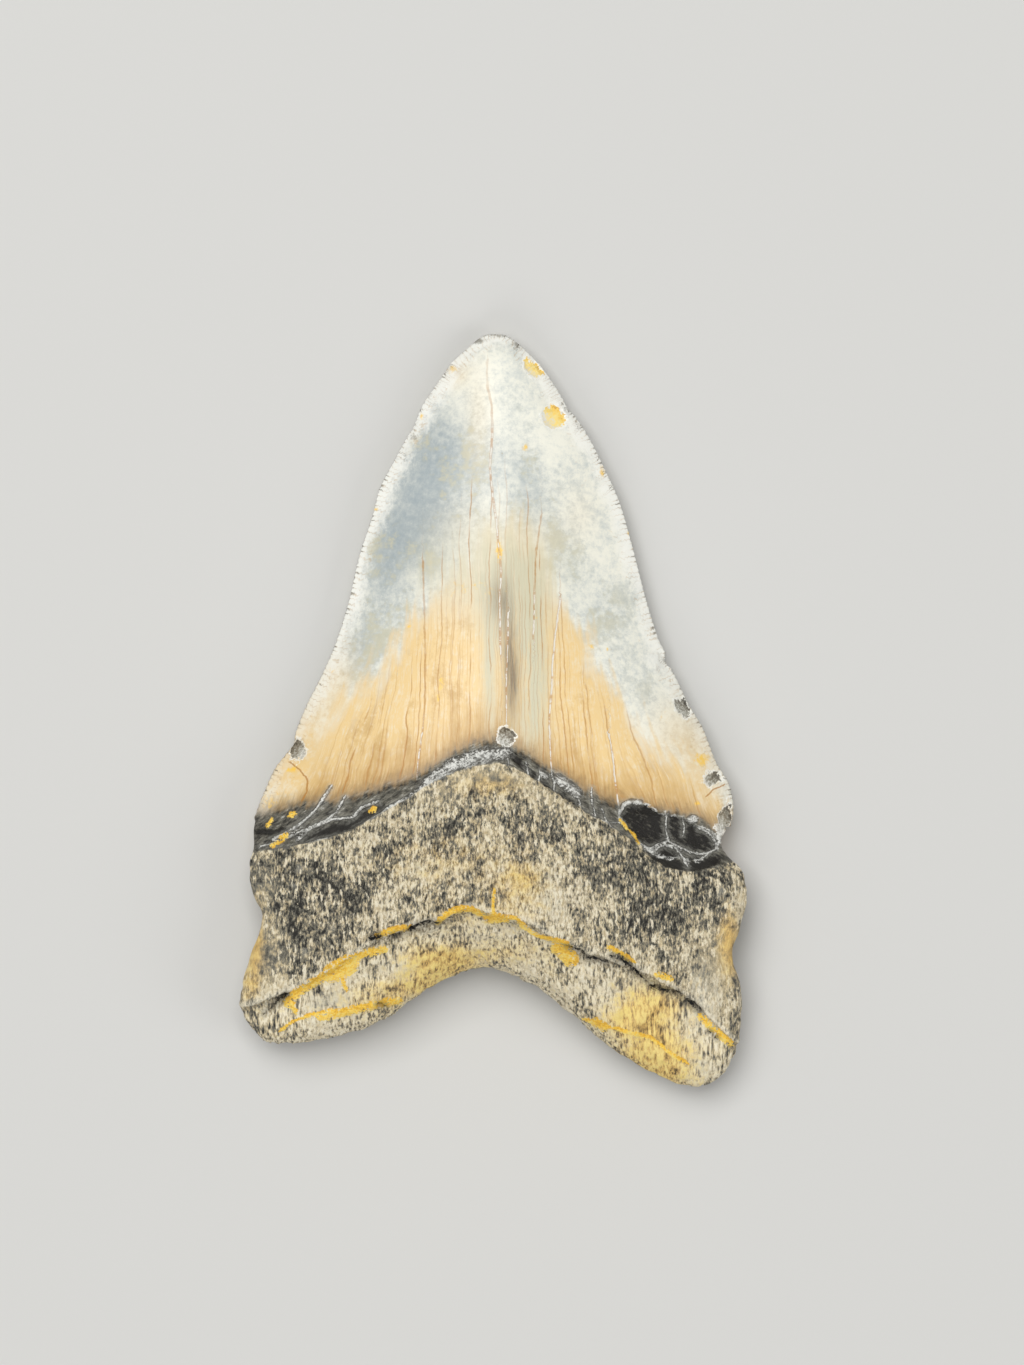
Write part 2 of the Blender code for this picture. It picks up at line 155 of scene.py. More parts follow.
# Strokes on the domed face, as half width and points
VEINS = [
    (0.22, [(-27.5, -12.8), (-29.2, -15.5), (-30.7, -17.5), (-33.2, -19.6), (-37.5, -21.8)]),
    (0.18, [(-25.1, -14.6), (-26.6, -17.2), (-28.6, -18.7), (-32.0, -20.1), (-35.4, -21.6), (-39.4, -23.1)]),
    (0.20, [(-19.6, -15.3), (-22.2, -16.3), (-23.9, -18.0), (-27.3, -18.4), (-31.2, -20.1), (-33.2, -21.8)]),
    (0.34, [(-13.9, -14.5), (-17.8, -16.5), (-21.7, -19.2), (-24.1, -20.7), (-26.1, -21.4), (-29.2, -21.9),
            (-32.9, -23.0), (-36.3, -23.8)]),
    (0.90, [(2.2, -7.2), (-1.2, -7.4)]),
    (1.30, [(-1.2, -7.5), (-3.8, -8.3), (-7.2, -9.5)]),
    (1.00, [(-7.4, -9.9), (-9.4, -11.0), (-11.0, -12.2)]),
    (0.60, [(-11.0, -12.5), (-13.6, -14.5)]),
    (0.40, [(-13.6, -14.7), (-16.9, -16.8), (-19.3, -18.1)]),
    (0.85, [(10.9, -11.5), (12.4, -12.6), (14.0, -13.8)]),
    (0.40, [(8.0, -10.5), (8.9, -11.1)]),
    (0.13, [(2.3, -7.3), (2.5, -9.2)]),
    (0.15, [(5.5, -8.8), (6.0, -10.7)]),
    (0.13, [(7.7, -10.3), (7.8, -11.9)]),
    (0.15, [(9.8, -10.4), (10.5, -14.0)]),
    (0.14, [(14.1, -14.4), (15.0, -16.9)]),
    (0.14, [(16.5, -13.2), (16.6, -15.6), (17.3, -18.3)]),
    (0.16, [(15.4, -17.0), (19.0, -19.0), (22.0, -21.4), (24.9, -23.0)]),
    (0.36, [(21.5, -17.0), (21.9, -16.0), (23.2, -15.3), (24.8, -15.5)]),
    (0.55, [(33.4, -18.3), (34.0, -18.3)]),
    (0.13, [(18.3, -16.7), (19.0, -18.9), (21.7, -18.9)]),
    (0.17, [(29.5, -17.2), (29.2, -18.9), (29.3, -20.4), (29.8, -21.9)]),
    (0.20, [(29.5, -21.9), (31.7, -23.0), (34.1, -24.0), (36.0, -24.1), (37.5, -23.6), (38.3, -22.1)]),
    (0.14, [(32.0, -18.2), (32.4, -19.6), (32.2, -20.9)]),
    (0.17, [(24.6, -22.3), (26.6, -23.1), (28.0, -22.4), (29.7, -21.9)]),
    (0.18, [(27.1, -23.5), (28.8, -22.6), (30.3, -23.0)]),
    (0.18, [(30.5, -22.8), (31.7, -24.1), (32.9, -26.0)]),
    (0.16, [(34.9, -19.9), (36.1, -20.4), (37.1, -21.2), (37.8, -22.3)]),
]
DARK_STRIPS = [
    (0.95, [(-32.2, -21.6), (-29.5, -20.7), (-26.9, -19.9), (-24.1, -18.9), (-21.7, -17.5), (-19.3, -16.2)]),
    (0.52, [(3.2, -7.6), (4.8, -8.8), (6.0, -10.2)]),
    (0.38, [(6.0, -10.3), (7.7, -11.6), (10.0, -13.1), (12.4, -14.6)]),
    (0.30, [(12.4, -14.6), (14.6, -16.0), (17.2, -18.1)]),
    (0.85, [(25.5, -24.0), (28.5, -25.2), (31.5, -26.0), (34.5, -26.0), (37.5, -25.2)]),
    (0.50, [(-40.2, -20.4), (-37.5, -20.6), (-35.8, -20.2)]),
    (0.40, [(-38.5, -22.2), (-35.8, -21.9), (-33.4, -21.0)]),
]
BROWN_CRACKS = [
    (0.14, [(-34.6, -8.7), (-32.9, -10.0), (-31.5, -11.7), (-31.6, -13.6), (-32.4, -15.1)]),
    (0.12, [(39.1, -12.6), (37.4, -13.2), (36.0, -14.6)]),
]
CLAY = [
    (0.70, [(-34.9, -49.3), (-33.2, -47.6), (-30.9, -46.1), (-28.5, -44.7)]),
    (1.55, [(-27.1, -44.2), (-25.6, -43.4), (-24.4, -42.7)]),
    (0.60, [(-24.1, -42.0), (-22.4, -41.1), (-20.7, -40.6), (-18.6, -40.1)]),
    (0.45, [(-34.3, -49.1), (-33.6, -50.8)]),
    (0.30, [(-25.8, -44.7), (-24.9, -47.1)]),
    (0.45, [(-19.6, -37.9), (-17.9, -37.2), (-16.2, -36.7), (-14.2, -36.4)]),
    (0.45, [(-9.4, -35.4), (-8.2, -34.3), (-7.1, -33.7), (-5.4, -33.2), (-3.7, -33.3), (-1.8, -34.2)]),
    (0.22, [(0.1, -30.1), (-0.1, -32.6), (0.1, -34.5)]),
    (0.70, [(-0.9, -34.9), (0.4, -34.7), (1.8, -35.0)]),
    (0.34, [(1.8, -34.7), (3.7, -34.7), (4.8, -35.9), (6.5, -37.2), (7.9, -38.1), (10.5, -38.4),
            (12.8, -39.3)]),
    (1.20, [(11.0, -40.0), (12.2, -40.8), (13.0, -41.8)]),
    (0.34, [(19.5, -39.8), (21.5, -40.8), (23.5, -42.2)]),
    (0.40, [(27.6, -44.4), (29.8, -45.2)]),
    (0.50, [(35.1, -51.7), (36.5, -53.2), (37.5, -54.1), (38.8, -55.3), (40.2, -56.4)]),
    (0.62, [(-29.2, -51.7), (-27.1, -51.3), (-24.4, -50.8), (-22.4, -50.2), (-19.1, -49.6), (-16.1, -49.1)]),
    (0.26, [(-36.1, -54.2), (-34.9, -53.2), (-33.6, -52.4), (-30.7, -51.3), (-27.3, -50.7)]),
    (0.26, [(15.4, -52.2), (19.0, -53.4), (24.1, -54.6), (26.6, -55.3), (29.5, -57.6), (32.7, -59.7)]),
    (0.75, [(17.4, -52.7), (18.6, -53.4)]),
    (0.26, [(21.5, -18.5), (22.5, -19.7), (23.9, -20.9), (24.4, -22.4)]),
    (0.40, [(-35.8, -21.4), (-35.3, -21.1)]),
    (0.40, [(-34.4, -17.7), (-33.9, -17.5)]),
    (0.30, [(-38.3, -19.4), (-37.7, -18.5)]),
    (0.35, [(-20.8, -16.8), (-20.3, -16.5)]),
    (0.30, [(-36.3, -22.1), (-37.5, -22.8)]),
]
GAPS = [
    (0.40, [(-20.5, -38.1), (-19.3, -37.9)]),
    (0.30, [(-17.1, -37.9), (-16.1, -37.7)]),
    (0.36, [(-14.0, -36.7), (-12.5, -35.9), (-10.5, -35.4)]),
    (0.16, [(-10.1, -35.5), (-9.4, -35.5)]),
    (0.45, [(-35.1, -48.0), (-36.4, -49.0)]),
    (0.28, [(-36.4, -49.0), (-37.4, -49.9)]),
    (0.12, [(-37.4, -49.9), (-38.9, -51.3)]),
    (0.18, [(12.5, -39.4), (14.7, -40.3), (15.9, -41.5), (19.0, -42.2)]),
    (0.34, [(20.1, -41.3), (22.0, -42.0), (24.4, -44.4)]),
    (0.14, [(24.4, -44.4), (26.6, -46.4)]),
    (0.30, [(26.6, -46.4), (28.3, -47.1), (31.4, -47.6)]),
    (0.34, [(32.9, -48.8), (34.8, -50.5)]),
    (0.12, [(36.6, -54.4), (37.7, -55.4)]),
    (0.28, [(-19.3, -49.6), (-18.6, -49.8)]),
]
FLAKED_OUTLINE = [
    (21.3, -16.2), (22.2, -15.6), (23.5, -15.3), (24.9, -15.5), (25.9, -15.8), (27.1, -16.7), (28.1, -17.3),
    (29.7, -17.5), (31.2, -18.0), (32.9, -18.5), (33.7, -19.2), (34.8, -19.6), (36.1, -20.2), (37.5, -20.9),
    (38.3, -22.1), (38.0, -23.3), (36.5, -24.0), (35.1, -25.0), (33.4, -25.3), (31.7, -24.7), (29.7, -24.8),
    (27.6, -24.1), (25.9, -23.0), (24.7, -22.3), (23.5, -20.9), (22.4, -19.2), (21.3, -17.7),
]

# Chips in the enamel: middle across and along, half width, half length, turn in degrees
CHIPS = [
    (-33.6, -6.4, 1.5, 2.0, 20), (10.3, 49.9, 2.1, 1.9, -40), (6.9, 58.1, 1.9, 1.2, -45),
    (32.2, 0.7, 1.2, 1.8, 35), (37.3, -11.5, 1.7, 1.2, 25), (39.5, -18.4, 1.4, 2.7, -15),
    (2.2, -4.2, 1.45, 1.6, 0),
]

# Soft spots on the domed face: middle across and along, half width, half length, strength
BLUE_CLOUDS = [
    (-12.8, 37.6, 6.5, 11.9, 0.95), (-19.0, 22.6, 4.9, 8.2, 0.58), (-22.4, 10.4, 4.4, 6.5, 0.58),
    (-8.2, 25.7, 5.8, 7.8, 0.30), (6.5, 37.2, 4.1, 6.8, 0.52), (12.3, 25.0, 5.1, 6.8, 0.35),
    (18.1, 16.5, 6.3, 6.2, 0.38), (24.9, 8.5, 3.9, 4.9, 0.22), (-9.1, 51.2, 5.1, 5.1, 0.38),
    (17.3, 45.2, 2.9, 5.4, 0.12), (0.5, 41.0, 3.9, 8.8, 0.28), (23.5, 2.6, 4.9, 2.7, 0.12),
    (-26.8, -7.8, 2.4, 0.9, 0.60), (0.0, 62.0, 4.0, 1.5, 0.20), (-7.5, 44.0, 4.5, 6.0, 0.35),
    (-17.0, 29.0, 5.0, 7.0, 0.35), (-14.0, 15.0, 5.0, 5.0, 0.20), (28.5, 3.0, 3.0, 4.0, 0.15),
    (-3.5, 37.0, 5.5, 11.0, 0.30), (4.0, 46.0, 4.0, 8.0, 0.18), (10.0, 33.0, 5.0, 6.0, 0.15),
]
TAN_HAZE = [
    (-2.5, 50.0, 2.2, 9.0, 0.20), (-7.0, 57.6, 2.2, 2.4, 0.55), (-4.0, 30.0, 6.0, 5.0, 0.15),
    (5.5, 28.5, 4.0, 3.5, 0.25), (-32.5, -7.0, 5.0, 7.5, 0.80), (31.0, -4.0, 5.0, 6.0, 0.35),
    (35.5, -12.0, 3.5, 7.0, 0.60), (14.5, 33.0, 3.0, 5.0, 0.12), (-37.0, -13.0, 4.5, 5.5, 0.80),
    (-27.5, 4.0, 4.0, 7.0, 0.45),
]
PALE_STRIPE = [
    (7.0, 8.5, 2.4, 12.5, 1.20), (-0.6, 5.5, 1.2, 9.0, 0.85), (1.1, 24.5, 9.0, 7.0, 0.80),
    (2.0, 17.0, 5.0, 7.0, 0.70), (5.0, -3.0, 3.5, 4.5, 0.40), (-11.0, 24.0, 3.0, 4.0, 0.30),
]
GREY_STREAK = [(0.9, 18.9, 2.2, 4.1, 0.60), (3.0, 5.3, 1.3, 6.5, 1.10), (2.5, 13.0, 1.1, 6.0, 0.65)]
STAINS = [
    (-7.1, 58.1, 0.9, 0.7, 0.8), (-12.3, 50.0, 0.3, 0.7, 0.9), (5.4, 44.7, 0.5, 0.7, 0.7),
    (18.4, 40.6, 0.5, 0.9, 1.0), (-14.4, 14.3, 0.5, 0.5, 0.8), (-25.6, 4.4, 0.3, 0.3, 0.7),
    (-20.8, 4.8, 0.3, 0.3, 0.6), (-27.6, 6.8, 0.5, 0.3, 0.7), (-8.8, 4.9, 0.5, 1.5, 0.8),
    (-9.4, 2.2, 0.5, 1.0, 0.6), (-5.5, 3.6, 0.3, 0.3, 0.6), (-31.2, -1.2, 0.5, 0.5, 0.5),
    (19.3, 10.4, 0.3, 0.3, 0.9), (16.7, 10.7, 1.2, 0.7, 0.6), (7.4, 15.8, 0.3, 0.3, 0.6),
    (34.4, -15.8, 0.7, 0.5, 0.7), (35.4, -8.2, 1.4, 1.5, 0.8), (29.0, -0.5, 1.4, 1.4, 0.35),
    (0.9, 27.2, 0.6, 1.9, 0.9), (13.5, 32.5, 0.3, 0.3, 0.5), (-34.3, -10.0, 1.4, 0.5, 0.8),
    (-38.0, -15.1, 1.4, 2.0, 0.45), (-20.0, 34.3, 0.5, 0.3, 0.7), (-22.7, 29.9, 0.3, 0.5, 0.5),
    (-24.1, 22.3, 0.3, 0.7, 0.5), (22.9, 29.9, 0.3, 0.7, 0.6), (23.5, 24.0, 0.3, 0.5, 0.6),
    (-4.0, 20.6, 6.8, 2.4, 0.25),
]
SMUDGES = [
    (-2.6, 62.9, 1.2, 0.7, 0.9), (4.0, 62.1, 1.2, 0.9, 0.8), (0.6, 63.8, 2.0, 0.5, 0.6),
    (-13.5, 46.6, 0.9, 0.7, 0.8), (-15.6, 43.2, 0.9, 0.7, 0.6), (-12.8, 51.0, 0.5, 0.9, 0.5),
    (-40.7, -19.2, 1.5, 2.4, 1.0), (12.2, 50.8, 0.8, 0.8, 0.9), (19.8, 37.9, 0.5, 0.9, 0.4),
    (-17.3, 39.3, 0.3, 0.5, 0.4),
]
SMOOTH_BONE = [
    (-41.0, -38.5, 2.2, 6.5, 1.0), (40.6, -39.8, 1.9, 6.5, 0.8), (-0.5, -11.2, 8.0, 1.7, 0.8),
    (-9.0, -14.0, 3.5, 1.6, 0.5), (9.5, -15.0, 3.5, 1.8, 0.5), (-40.0, -30.0, 3.0, 3.0, 0.5),
    (-37.5, -41.5, 3.0, 5.0, 0.6), (37.0, -42.5, 3.5, 5.0, 0.5), (-40.0, -52.0, 4.5, 4.0, 0.5),
    (37.5, -55.5, 3.5, 7.0, 0.5), (-27.5, -49.2, 3.5, 1.8, 0.6),
]
ROOT_DARK = [
    (-31.2, -29.6, 10.5, 7.1, 1.0), (-32.9, -40.6, 5.8, 6.1, 0.7), (-21.8, -33.0, 7.1, 6.8, 0.45),
    (-12.5, -19.4, 10.2, 3.7, 0.45), (11.3, -20.2, 7.7, 3.7, 0.55), (29.2, -30.4, 8.8, 7.1, 1.0),
    (24.9, -37.2, 7.5, 4.4, 0.6), (37.7, -28.7, 3.7, 4.4, 0.7), (18.1, -27.0, 5.1, 5.1, 0.3),
    (-39.4, -50.8, 3.4, 3.7, 0.35), (4.5, -17.7, 8.5, 2.4, 0.4),
]
ROOT_WARM = [
    (-9.1, -42.7, 5.8, 2.7, 1.0), (-12.5, -46.6, 6.8, 2.0, 0.7), (4.5, -28.7, 4.1, 3.1, 0.6),
    (27.5, -58.0, 6.1, 3.4, 1.0), (22.4, -52.5, 4.1, 2.7, 0.6), (26.6, -50.0, 5.4, 4.7, 0.8),
    (-40.7, -38.9, 1.7, 5.8, 0.9), (39.9, -39.8, 2.0, 5.8, 0.8), (-41.4, -46.6, 2.0, 3.4, 0.5),
    (1.1, -40.6, 10.2, 2.4, 0.35), (-0.6, -12.6, 5.8, 2.0, 0.45), (-0.6, -33.8, 10.2, 2.7, 0.35),
    (-20.7, -49.1, 6.8, 2.4, 0.4), (-10.8, -25.3, 10.2, 5.1, 0.2), (28.3, -61.9, 5.8, 2.0, 0.7),
    (0.0, -24.0, 13.0, 6.0, 0.12),
]
ROOT_PALE = [
    (-27.8, -49.1, 5.1, 2.4, 0.9), (-18.4, -43.2, 8.5, 3.1, 0.5), (-2.3, -38.1, 8.5, 2.4, 0.6),
    (11.3, -33.0, 6.8, 4.2, 0.5), (24.9, -46.6, 5.1, 2.4, 0.5), (35.1, -45.7, 3.7, 6.1, 0.8),
    (35.1, -60.2, 4.1, 3.4, 0.6), (33.4, -52.5, 4.1, 4.1, 0.4), (18.1, -45.7, 6.8, 4.4, 0.4),
    (-32.9, -26.7, 0.9, 0.9, 1.0), (-33.9, -29.6, 0.7, 0.7, 1.0), (-31.9, -40.6, 0.9, 1.0, 0.9),
    (-27.1, -36.6, 0.7, 1.2, 0.7), (38.5, -30.9, 0.9, 1.4, 0.9), (-12.8, -26.7, 0.7, 1.4, 0.7),
    (27.5, -27.4, 1.0, 0.9, 0.6), (-31.2, -22.8, 6.8, 1.4, 0.4),
]


def paint(red, green, blue):
    """A colour in the 0 to 255 steps of a paint chart, as the linear light that a shader takes."""
    shares = [value / 255 for value in (red, green, blue)]
    return tuple(s / 12.92 if s <= 0.04045 else ((s + 0.055) / 1.055) ** 2.4 for s in shares)


def colour_setting(name, description, default):
    return FloatVectorProperty(
        name=name, description=description, default=default, subtype="COLOR", size=3, min=0.0, max=1.0
    )


class ToothSizes(bpy.types.PropertyGroup):
    smoothing: IntProperty(
        name="Smoothing", description="Times that the packed faces are split into four",
        default=2, min=1, max=2,
    )
    serration_gain: FloatProperty(
        name="Serration gain", description="How many times deeper the worn serrations become", default=1.6
    )
    pit_depth: FloatProperty(
        name="Pit depth", description="Depth of the root's pits", default=0.00022, unit="LENGTH"
    )
    gap_depth: FloatProperty(
        name="Gap depth", description="Depth of the gaps under the root's ledge", default=0.0008,
        unit="LENGTH",
    )
    flake_depth: FloatProperty(
        name="Flake depth", description="Depth of the step round the flaked enamel", default=0.0004,
        unit="LENGTH",
    )
    tooth_pitch: FloatProperty(
        name="Serration pitch", description="Distance from one serration to the next", default=0.00092,
        unit="LENGTH",
    )


class ToothColours(bpy.types.PropertyGroup):
    ivory: colour_setting("Ivory", "Pale enamel", paint(242, 240, 225))
    rim_white: colour_setting("Rim white", "Enamel along the cutting edges", paint(251, 250, 241))
    cool_white: colour_setting("Cool white", "Cooler pale enamel", paint(214, 218, 211))
    blue_grey: colour_setting("Blue-grey", "Clouds in the enamel", paint(154, 166, 171))
    tan: colour_setting("Tan", "Enamel of the lower crown", paint(238, 206, 146))
    deep_tan: colour_setting("Deep tan", "Enamel close to the band", paint(196, 158, 98))
    stripe_pale: colour_setting("Stripe pale", "Pale stripe in the tan", paint(208, 202, 173))
    streak_grey: colour_setting("Streak grey", "Streak down the middle", paint(132, 118, 94))
    # Also the painted shade on the upper, outer side of the clay-filled chips.
    hairline_and_shade_brown: colour_setting("Hairline brown", "Fine cracks", paint(178, 120, 44))
    # Also the painted highlight on the lower, inner side of the clay-filled chips.
    crack_and_highlight_white: colour_setting("Crack white", "Filling of the wide cracks", paint(230, 227, 216))
    notch_grey: colour_setting("Notch grey", "Notches and worn spots of the edge", paint(112, 105, 90))
    band_dark: colour_setting("Band dark", "Dental band", paint(84, 81, 71))
    smoke_brown: colour_setting("Smoke brown", "Enamel that darkens into the band", paint(142, 118, 86))
    # Also the painted highlight in the grey chips and in the flaked area's streaks.
    frost_and_highlight: colour_setting("Frost", "Mineral veins on the band", paint(230, 229, 221))
    vein_grey: colour_setting("Vein grey", "Softer mineral haze", paint(176, 174, 162))
    # Also the painted shade on the upper, outer side of the grey chips.
    dentine_and_shade_black: colour_setting("Dentine black", "Bare dentine in the flaked area", paint(30, 27, 22))
    # Also the colour of the painted shadow under the ledge and in and around its gaps.
    pit_and_shadow_dark: colour_setting("Pit dark", "Bottom of the root's pits", paint(44, 42, 38))
    root_grey: colour_setting("Root grey", "Darker bone", paint(128, 124, 110))
    root_tan: colour_setting("Root tan", "Paler bone", paint(208, 190, 152))
    root_cream: colour_setting("Root cream", "Worn tops of the bone", paint(250, 240, 214))
    warm_bone: colour_setting("Warm bone", "Clay-stained bone", paint(226, 184, 104))
    warm_pit: colour_setting("Warm pit", "Pits of the clay-stained bone", paint(104, 84, 48))
    ochre: colour_setting("Ochre", "Clay and stains", paint(255, 206, 66))
    clay_light: colour_setting("Clay light", "Paler clay", paint(255, 226, 128))
    clay_shade: colour_setting("Clay shade", "Darker clay", paint(232, 176, 64))


class StageSettings(bpy.types.PropertyGroup):
    floor_colour: colour_setting("Floor", "Pale floor", paint(206, 205, 201))
    light_power: FloatProperty(
        name="Light", description="Power of the large overhead light", default=15.0, unit="POWER"
    )
    view_width: FloatProperty(
        name="View width", description="Width that the camera sees at the tooth", default=0.17408,
        unit="LENGTH",
    )
    camera_height: FloatProperty(
        name="Camera height", description="Height of the camera over the floor", default=1.6, unit="LENGTH"
    )


def mix(first, second, share):
    return first + (second - first) * share


def ease(start, end, value):
    share = np.clip((value - start) / (end - start), 0.0, 1.0)
    return share * share * (3.0 - 2.0 * share)


def curve(points, places):
    """Values of a smooth curve through the points, at many places at once."""
    known, values = np.array(sorted(points)).T
    last = len(known) - 1
    order = np.arange(last + 1)
    low, high = np.maximum(order - 1, 0), np.minimum(order + 1, last)
    slopes = (values[high] - values[low]) / (known[high] - known[low])
    places = np.clip(places, known[0], known[-1])
    i = np.clip(np.searchsorted(known, places, side="right") - 1, 0, last - 1)
    gap = known[i + 1] - known[i]
    s = (places - known[i]) / gap
    start = (1 + 2 * s) * (1 - s) ** 2 * values[i] + s * (1 - s) ** 2 * gap * slopes[i]
    return start + s * s * (3 - 2 * s) * values[i + 1] + s * s * (s - 1) * gap * slopes[i + 1]


def distance_to_line(plan, line):
    """Distance to a line through points, and 1 or -1 for the side of it."""
    best, side = np.full(len(plan), np.inf), np.ones(len(plan))
    for start, end in zip(line, line[1:]):
        start, end = np.array(start), np.array(end)
        step, offset = end - start, plan - start
        along = np.clip(offset @ step / (step @ step), 0.0, 1.0)
        away = np.linalg.norm(offset - along[:, None] * step, axis=1)
        side = np.where(away < best, np.sign(step[0] * offset[:, 1] - step[1] * offset[:, 0]), side)
        best = np.minimum(best, away)
    return best, side


def strokes(plan, lines):
    """How far inside the nearest stroke each place is, negative outside, and its share across, -1 to 1."""
    inside, across = np.full(len(plan), -np.inf), np.zeros(len(plan))
    for half_width, line in lines:
        away, side = distance_to_line(plan, line)
        nearer = half_width - away > inside
        inside = np.where(nearer, half_width - away, inside)
        across = np.where(nearer, side * away / half_width, across)
    return inside, across


def depth_inside(plan, outline):
    """How far inside a closed outline each place is, negative outside."""
    inside = np.zeros(len(plan), bool)
    closed = outline + outline[:1]
    for (x0, y0), (x1, y1) in zip(closed, closed[1:]):
        if y0 != y1:
            crosses = (plan[:, 1] > min(y0, y1)) & (plan[:, 1] <= max(y0, y1))
            inside ^= crosses & (plan[:, 0] < x0 + (plan[:, 1] - y0) * (x1 - x0) / (y1 - y0))
    return np.where(inside, 1.0, -1.0) * distance_to_line(plan, closed)[0]


def chips(plan):
    """How far inside the nearest chip each place is, negative outside, and its share outwards and up, the
    side along which the chip's painted highlight and painted shade are graded.
    """
    best, lean = np.full(len(plan), -np.inf), np.zeros(len(plan))
    for x, y, half_width, half_length, turn in CHIPS:
        angle = math.radians(turn)
        dx, dy = plan[:, 0] - x, plan[:, 1] - y
        across = (dx * math.cos(angle) + dy * math.sin(angle)) / half_width
        along = (dy * math.cos(angle) - dx * math.sin(angle)) / half_length
        inside = (1.0 - np.hypot(across, along)) * min(half_width, half_length)
        lean = np.where(inside > best, (math.copysign(1.0, x) * dx + dy) / (half_width + half_length), lean)
        best = np.maximum(best, inside)
    return best, np.clip(lean, -1.0, 1.0)


def soft_spots(plan, spots):
    total = np.zeros(len(plan))
    for x, y, half_width, half_length, strength in spots:
        away = ((plan[:, 0] - x) / half_width) ** 2 + ((plan[:, 1] - y) / half_length) ** 2
        total += strength * np.exp(-away)
    return np.minimum(total, STRONGEST_SPOT)


def bumps(points, size):
    """Smooth bumps between -1 and 1 of the given size across, along and up, the same in each run."""
    return np.array([noise.noise(Vector(place)) for place in points / np.array(size)])


def select_only(thing):
    bpy.ops.object.select_all(action="DESELECT")
    thing.select_set(True)
    bpy.context.view_layer.objects.active = thing


def rim_edges(mesh):
    """Edges between a face that looks up and one that looks down."""
    looks_up = {}
    for face in mesh.polygons:
        for key in face.edge_keys:
            looks_up.setdefault(key, set()).add(face.normal.z > 0)
    return [edge for edge in mesh.edges if len(looks_up[edge.key]) == 2]


def merged_copy_of_packed_tooth():
    """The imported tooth's faces as a mesh of its own, with its loose triangles joined into quads."""
    tooth = bpy.data.objects.new("megalodon_tooth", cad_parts["tooth"].data.copy())
    bpy.context.scene.collection.objects.link(tooth)
    select_only(tooth)
    bpy.ops.mesh.customdata_custom_splitnormals_clear()
    bpy.ops.object.mode_set(mode="EDIT")
    bpy.ops.mesh.select_mode(type="EDGE")
    bpy.ops.mesh.select_all(action="SELECT")
    bpy.ops.mesh.mark_sharp(clear=True)
    bpy.ops.mesh.remove_doubles(threshold=MERGE_DISTANCE)
    bpy.ops.mesh.tris_convert_to_quads(face_threshold=QUAD_ANGLE, shape_threshold=QUAD_ANGLE)
    bpy.ops.mesh.select_all(action="DESELECT")
    bpy.ops.object.mode_set(mode="OBJECT")
    return tooth


def smooth_faces(tooth, levels):
    """Splits the faces with the crown's cutting edges kept crisp."""
    for edge in rim_edges(tooth.data):
        edge.select = all(tooth.data.vertices[i].co.y > CREASED_FROM * MM for i in edge.vertices)
    bpy.ops.object.mode_set(mode="EDIT")
    bpy.ops.transform.edge_crease(value=1.0)
    bpy.ops.object.mode_set(mode="OBJECT")
    modifier = tooth.modifiers.new("Smooth faces", "SUBSURF")
    modifier.levels = modifier.render_levels = levels
    bpy.ops.object.modifier_apply(modifier=modifier.name)
    bpy.ops.object.shade_smooth()


def refine_band(tooth):
    """Splits the faces of the dental band once more, for its strips, rims and veins."""
    faces = tooth.data.polygons
    centres = np.zeros(len(faces) * 3)
    faces.foreach_get("center", centres)
    x, y, z = centres.reshape(-1, 3).T / MM
    on_band = (y > curve(ROOT_TOP, x)) & (y < curve(ENAMEL_EDGE, x) + 0.2) & (z > curve(RIM_HEIGHT, y))
    faces.foreach_set("select", on_band)
    bpy.ops.object.mode_set(mode="EDIT")
    bpy.ops.mesh.select_mode(type="FACE")
    bpy.ops.mesh.subdivide(number_cuts=1, ngon=False)
    bpy.ops.mesh.select_all(action="DESELECT")
    bpy.ops.object.mode_set(mode="OBJECT")


def read_points(mesh):
    points = np.zeros(len(mesh.vertices) * 3)
    mesh.vertices.foreach_get("co", points)
    return points.reshape(-1, 3) / MM


def cutting_edges(mesh, points):
    """For each side of the crown, its rim points from the tip down and how far along the edge each lies."""
    rim = np.array(sorted({i for edge in rim_edges(mesh) for i in edge.vertices}))
    sides = []
    for side in (-1, 1):
        chosen = rim[(points[rim, 0] * side >= 0) & (points[rim, 1] > EDGES_FROM)]
        ordered = chosen[np.argsort(-points[chosen, 1])]
        steps = np.linalg.norm(np.diff(points[ordered, :2], axis=0), axis=1)
        sides.append((ordered, np.concatenate([[0.0], np.cumsum(steps)])))
    return sides


def deepen_serrations(points, sides, gain):
    """Moves the rim points away from the even line of the edge, to which the smoothing drew them."""
    reach = 4
    window = np.ones(2 * reach + 1)
    window[0] = window[-1] = 0.5
    window /= window.sum()
    inner = slice(reach + 1, -reach - 1)
    for ordered, _ in sides:
        line = points[ordered, :2]
        padded = np.pad(line, ((reach, reach), (0, 0)), mode="edge")
        even = np.stack([np.convolve(padded[:, k], window, mode="valid") for k in (0, 1)], axis=1)
        moved = even + (line - even) * gain
        points[ordered[inner], :2] = moved[inner]


def edge_distances(points, sides):
    """Distance in plan to the nearest cutting edge, and how far along it that is from the tip."""
    tree = kdtree.KDTree(sum(len(ordered) for ordered, _ in sides))
    runs = np.concatenate([run for _, run in sides])
    for i, place in enumerate(np.concatenate([points[ordered, :2] for ordered, _ in sides])):
        tree.insert((place[0], place[1], 0.0), i)
    tree.balance()
    found = [tree.find((x, y, 0.0)) for x, y, _ in points]
    return np.array([f[2] for f in found]), runs[[f[1] for f in found]]


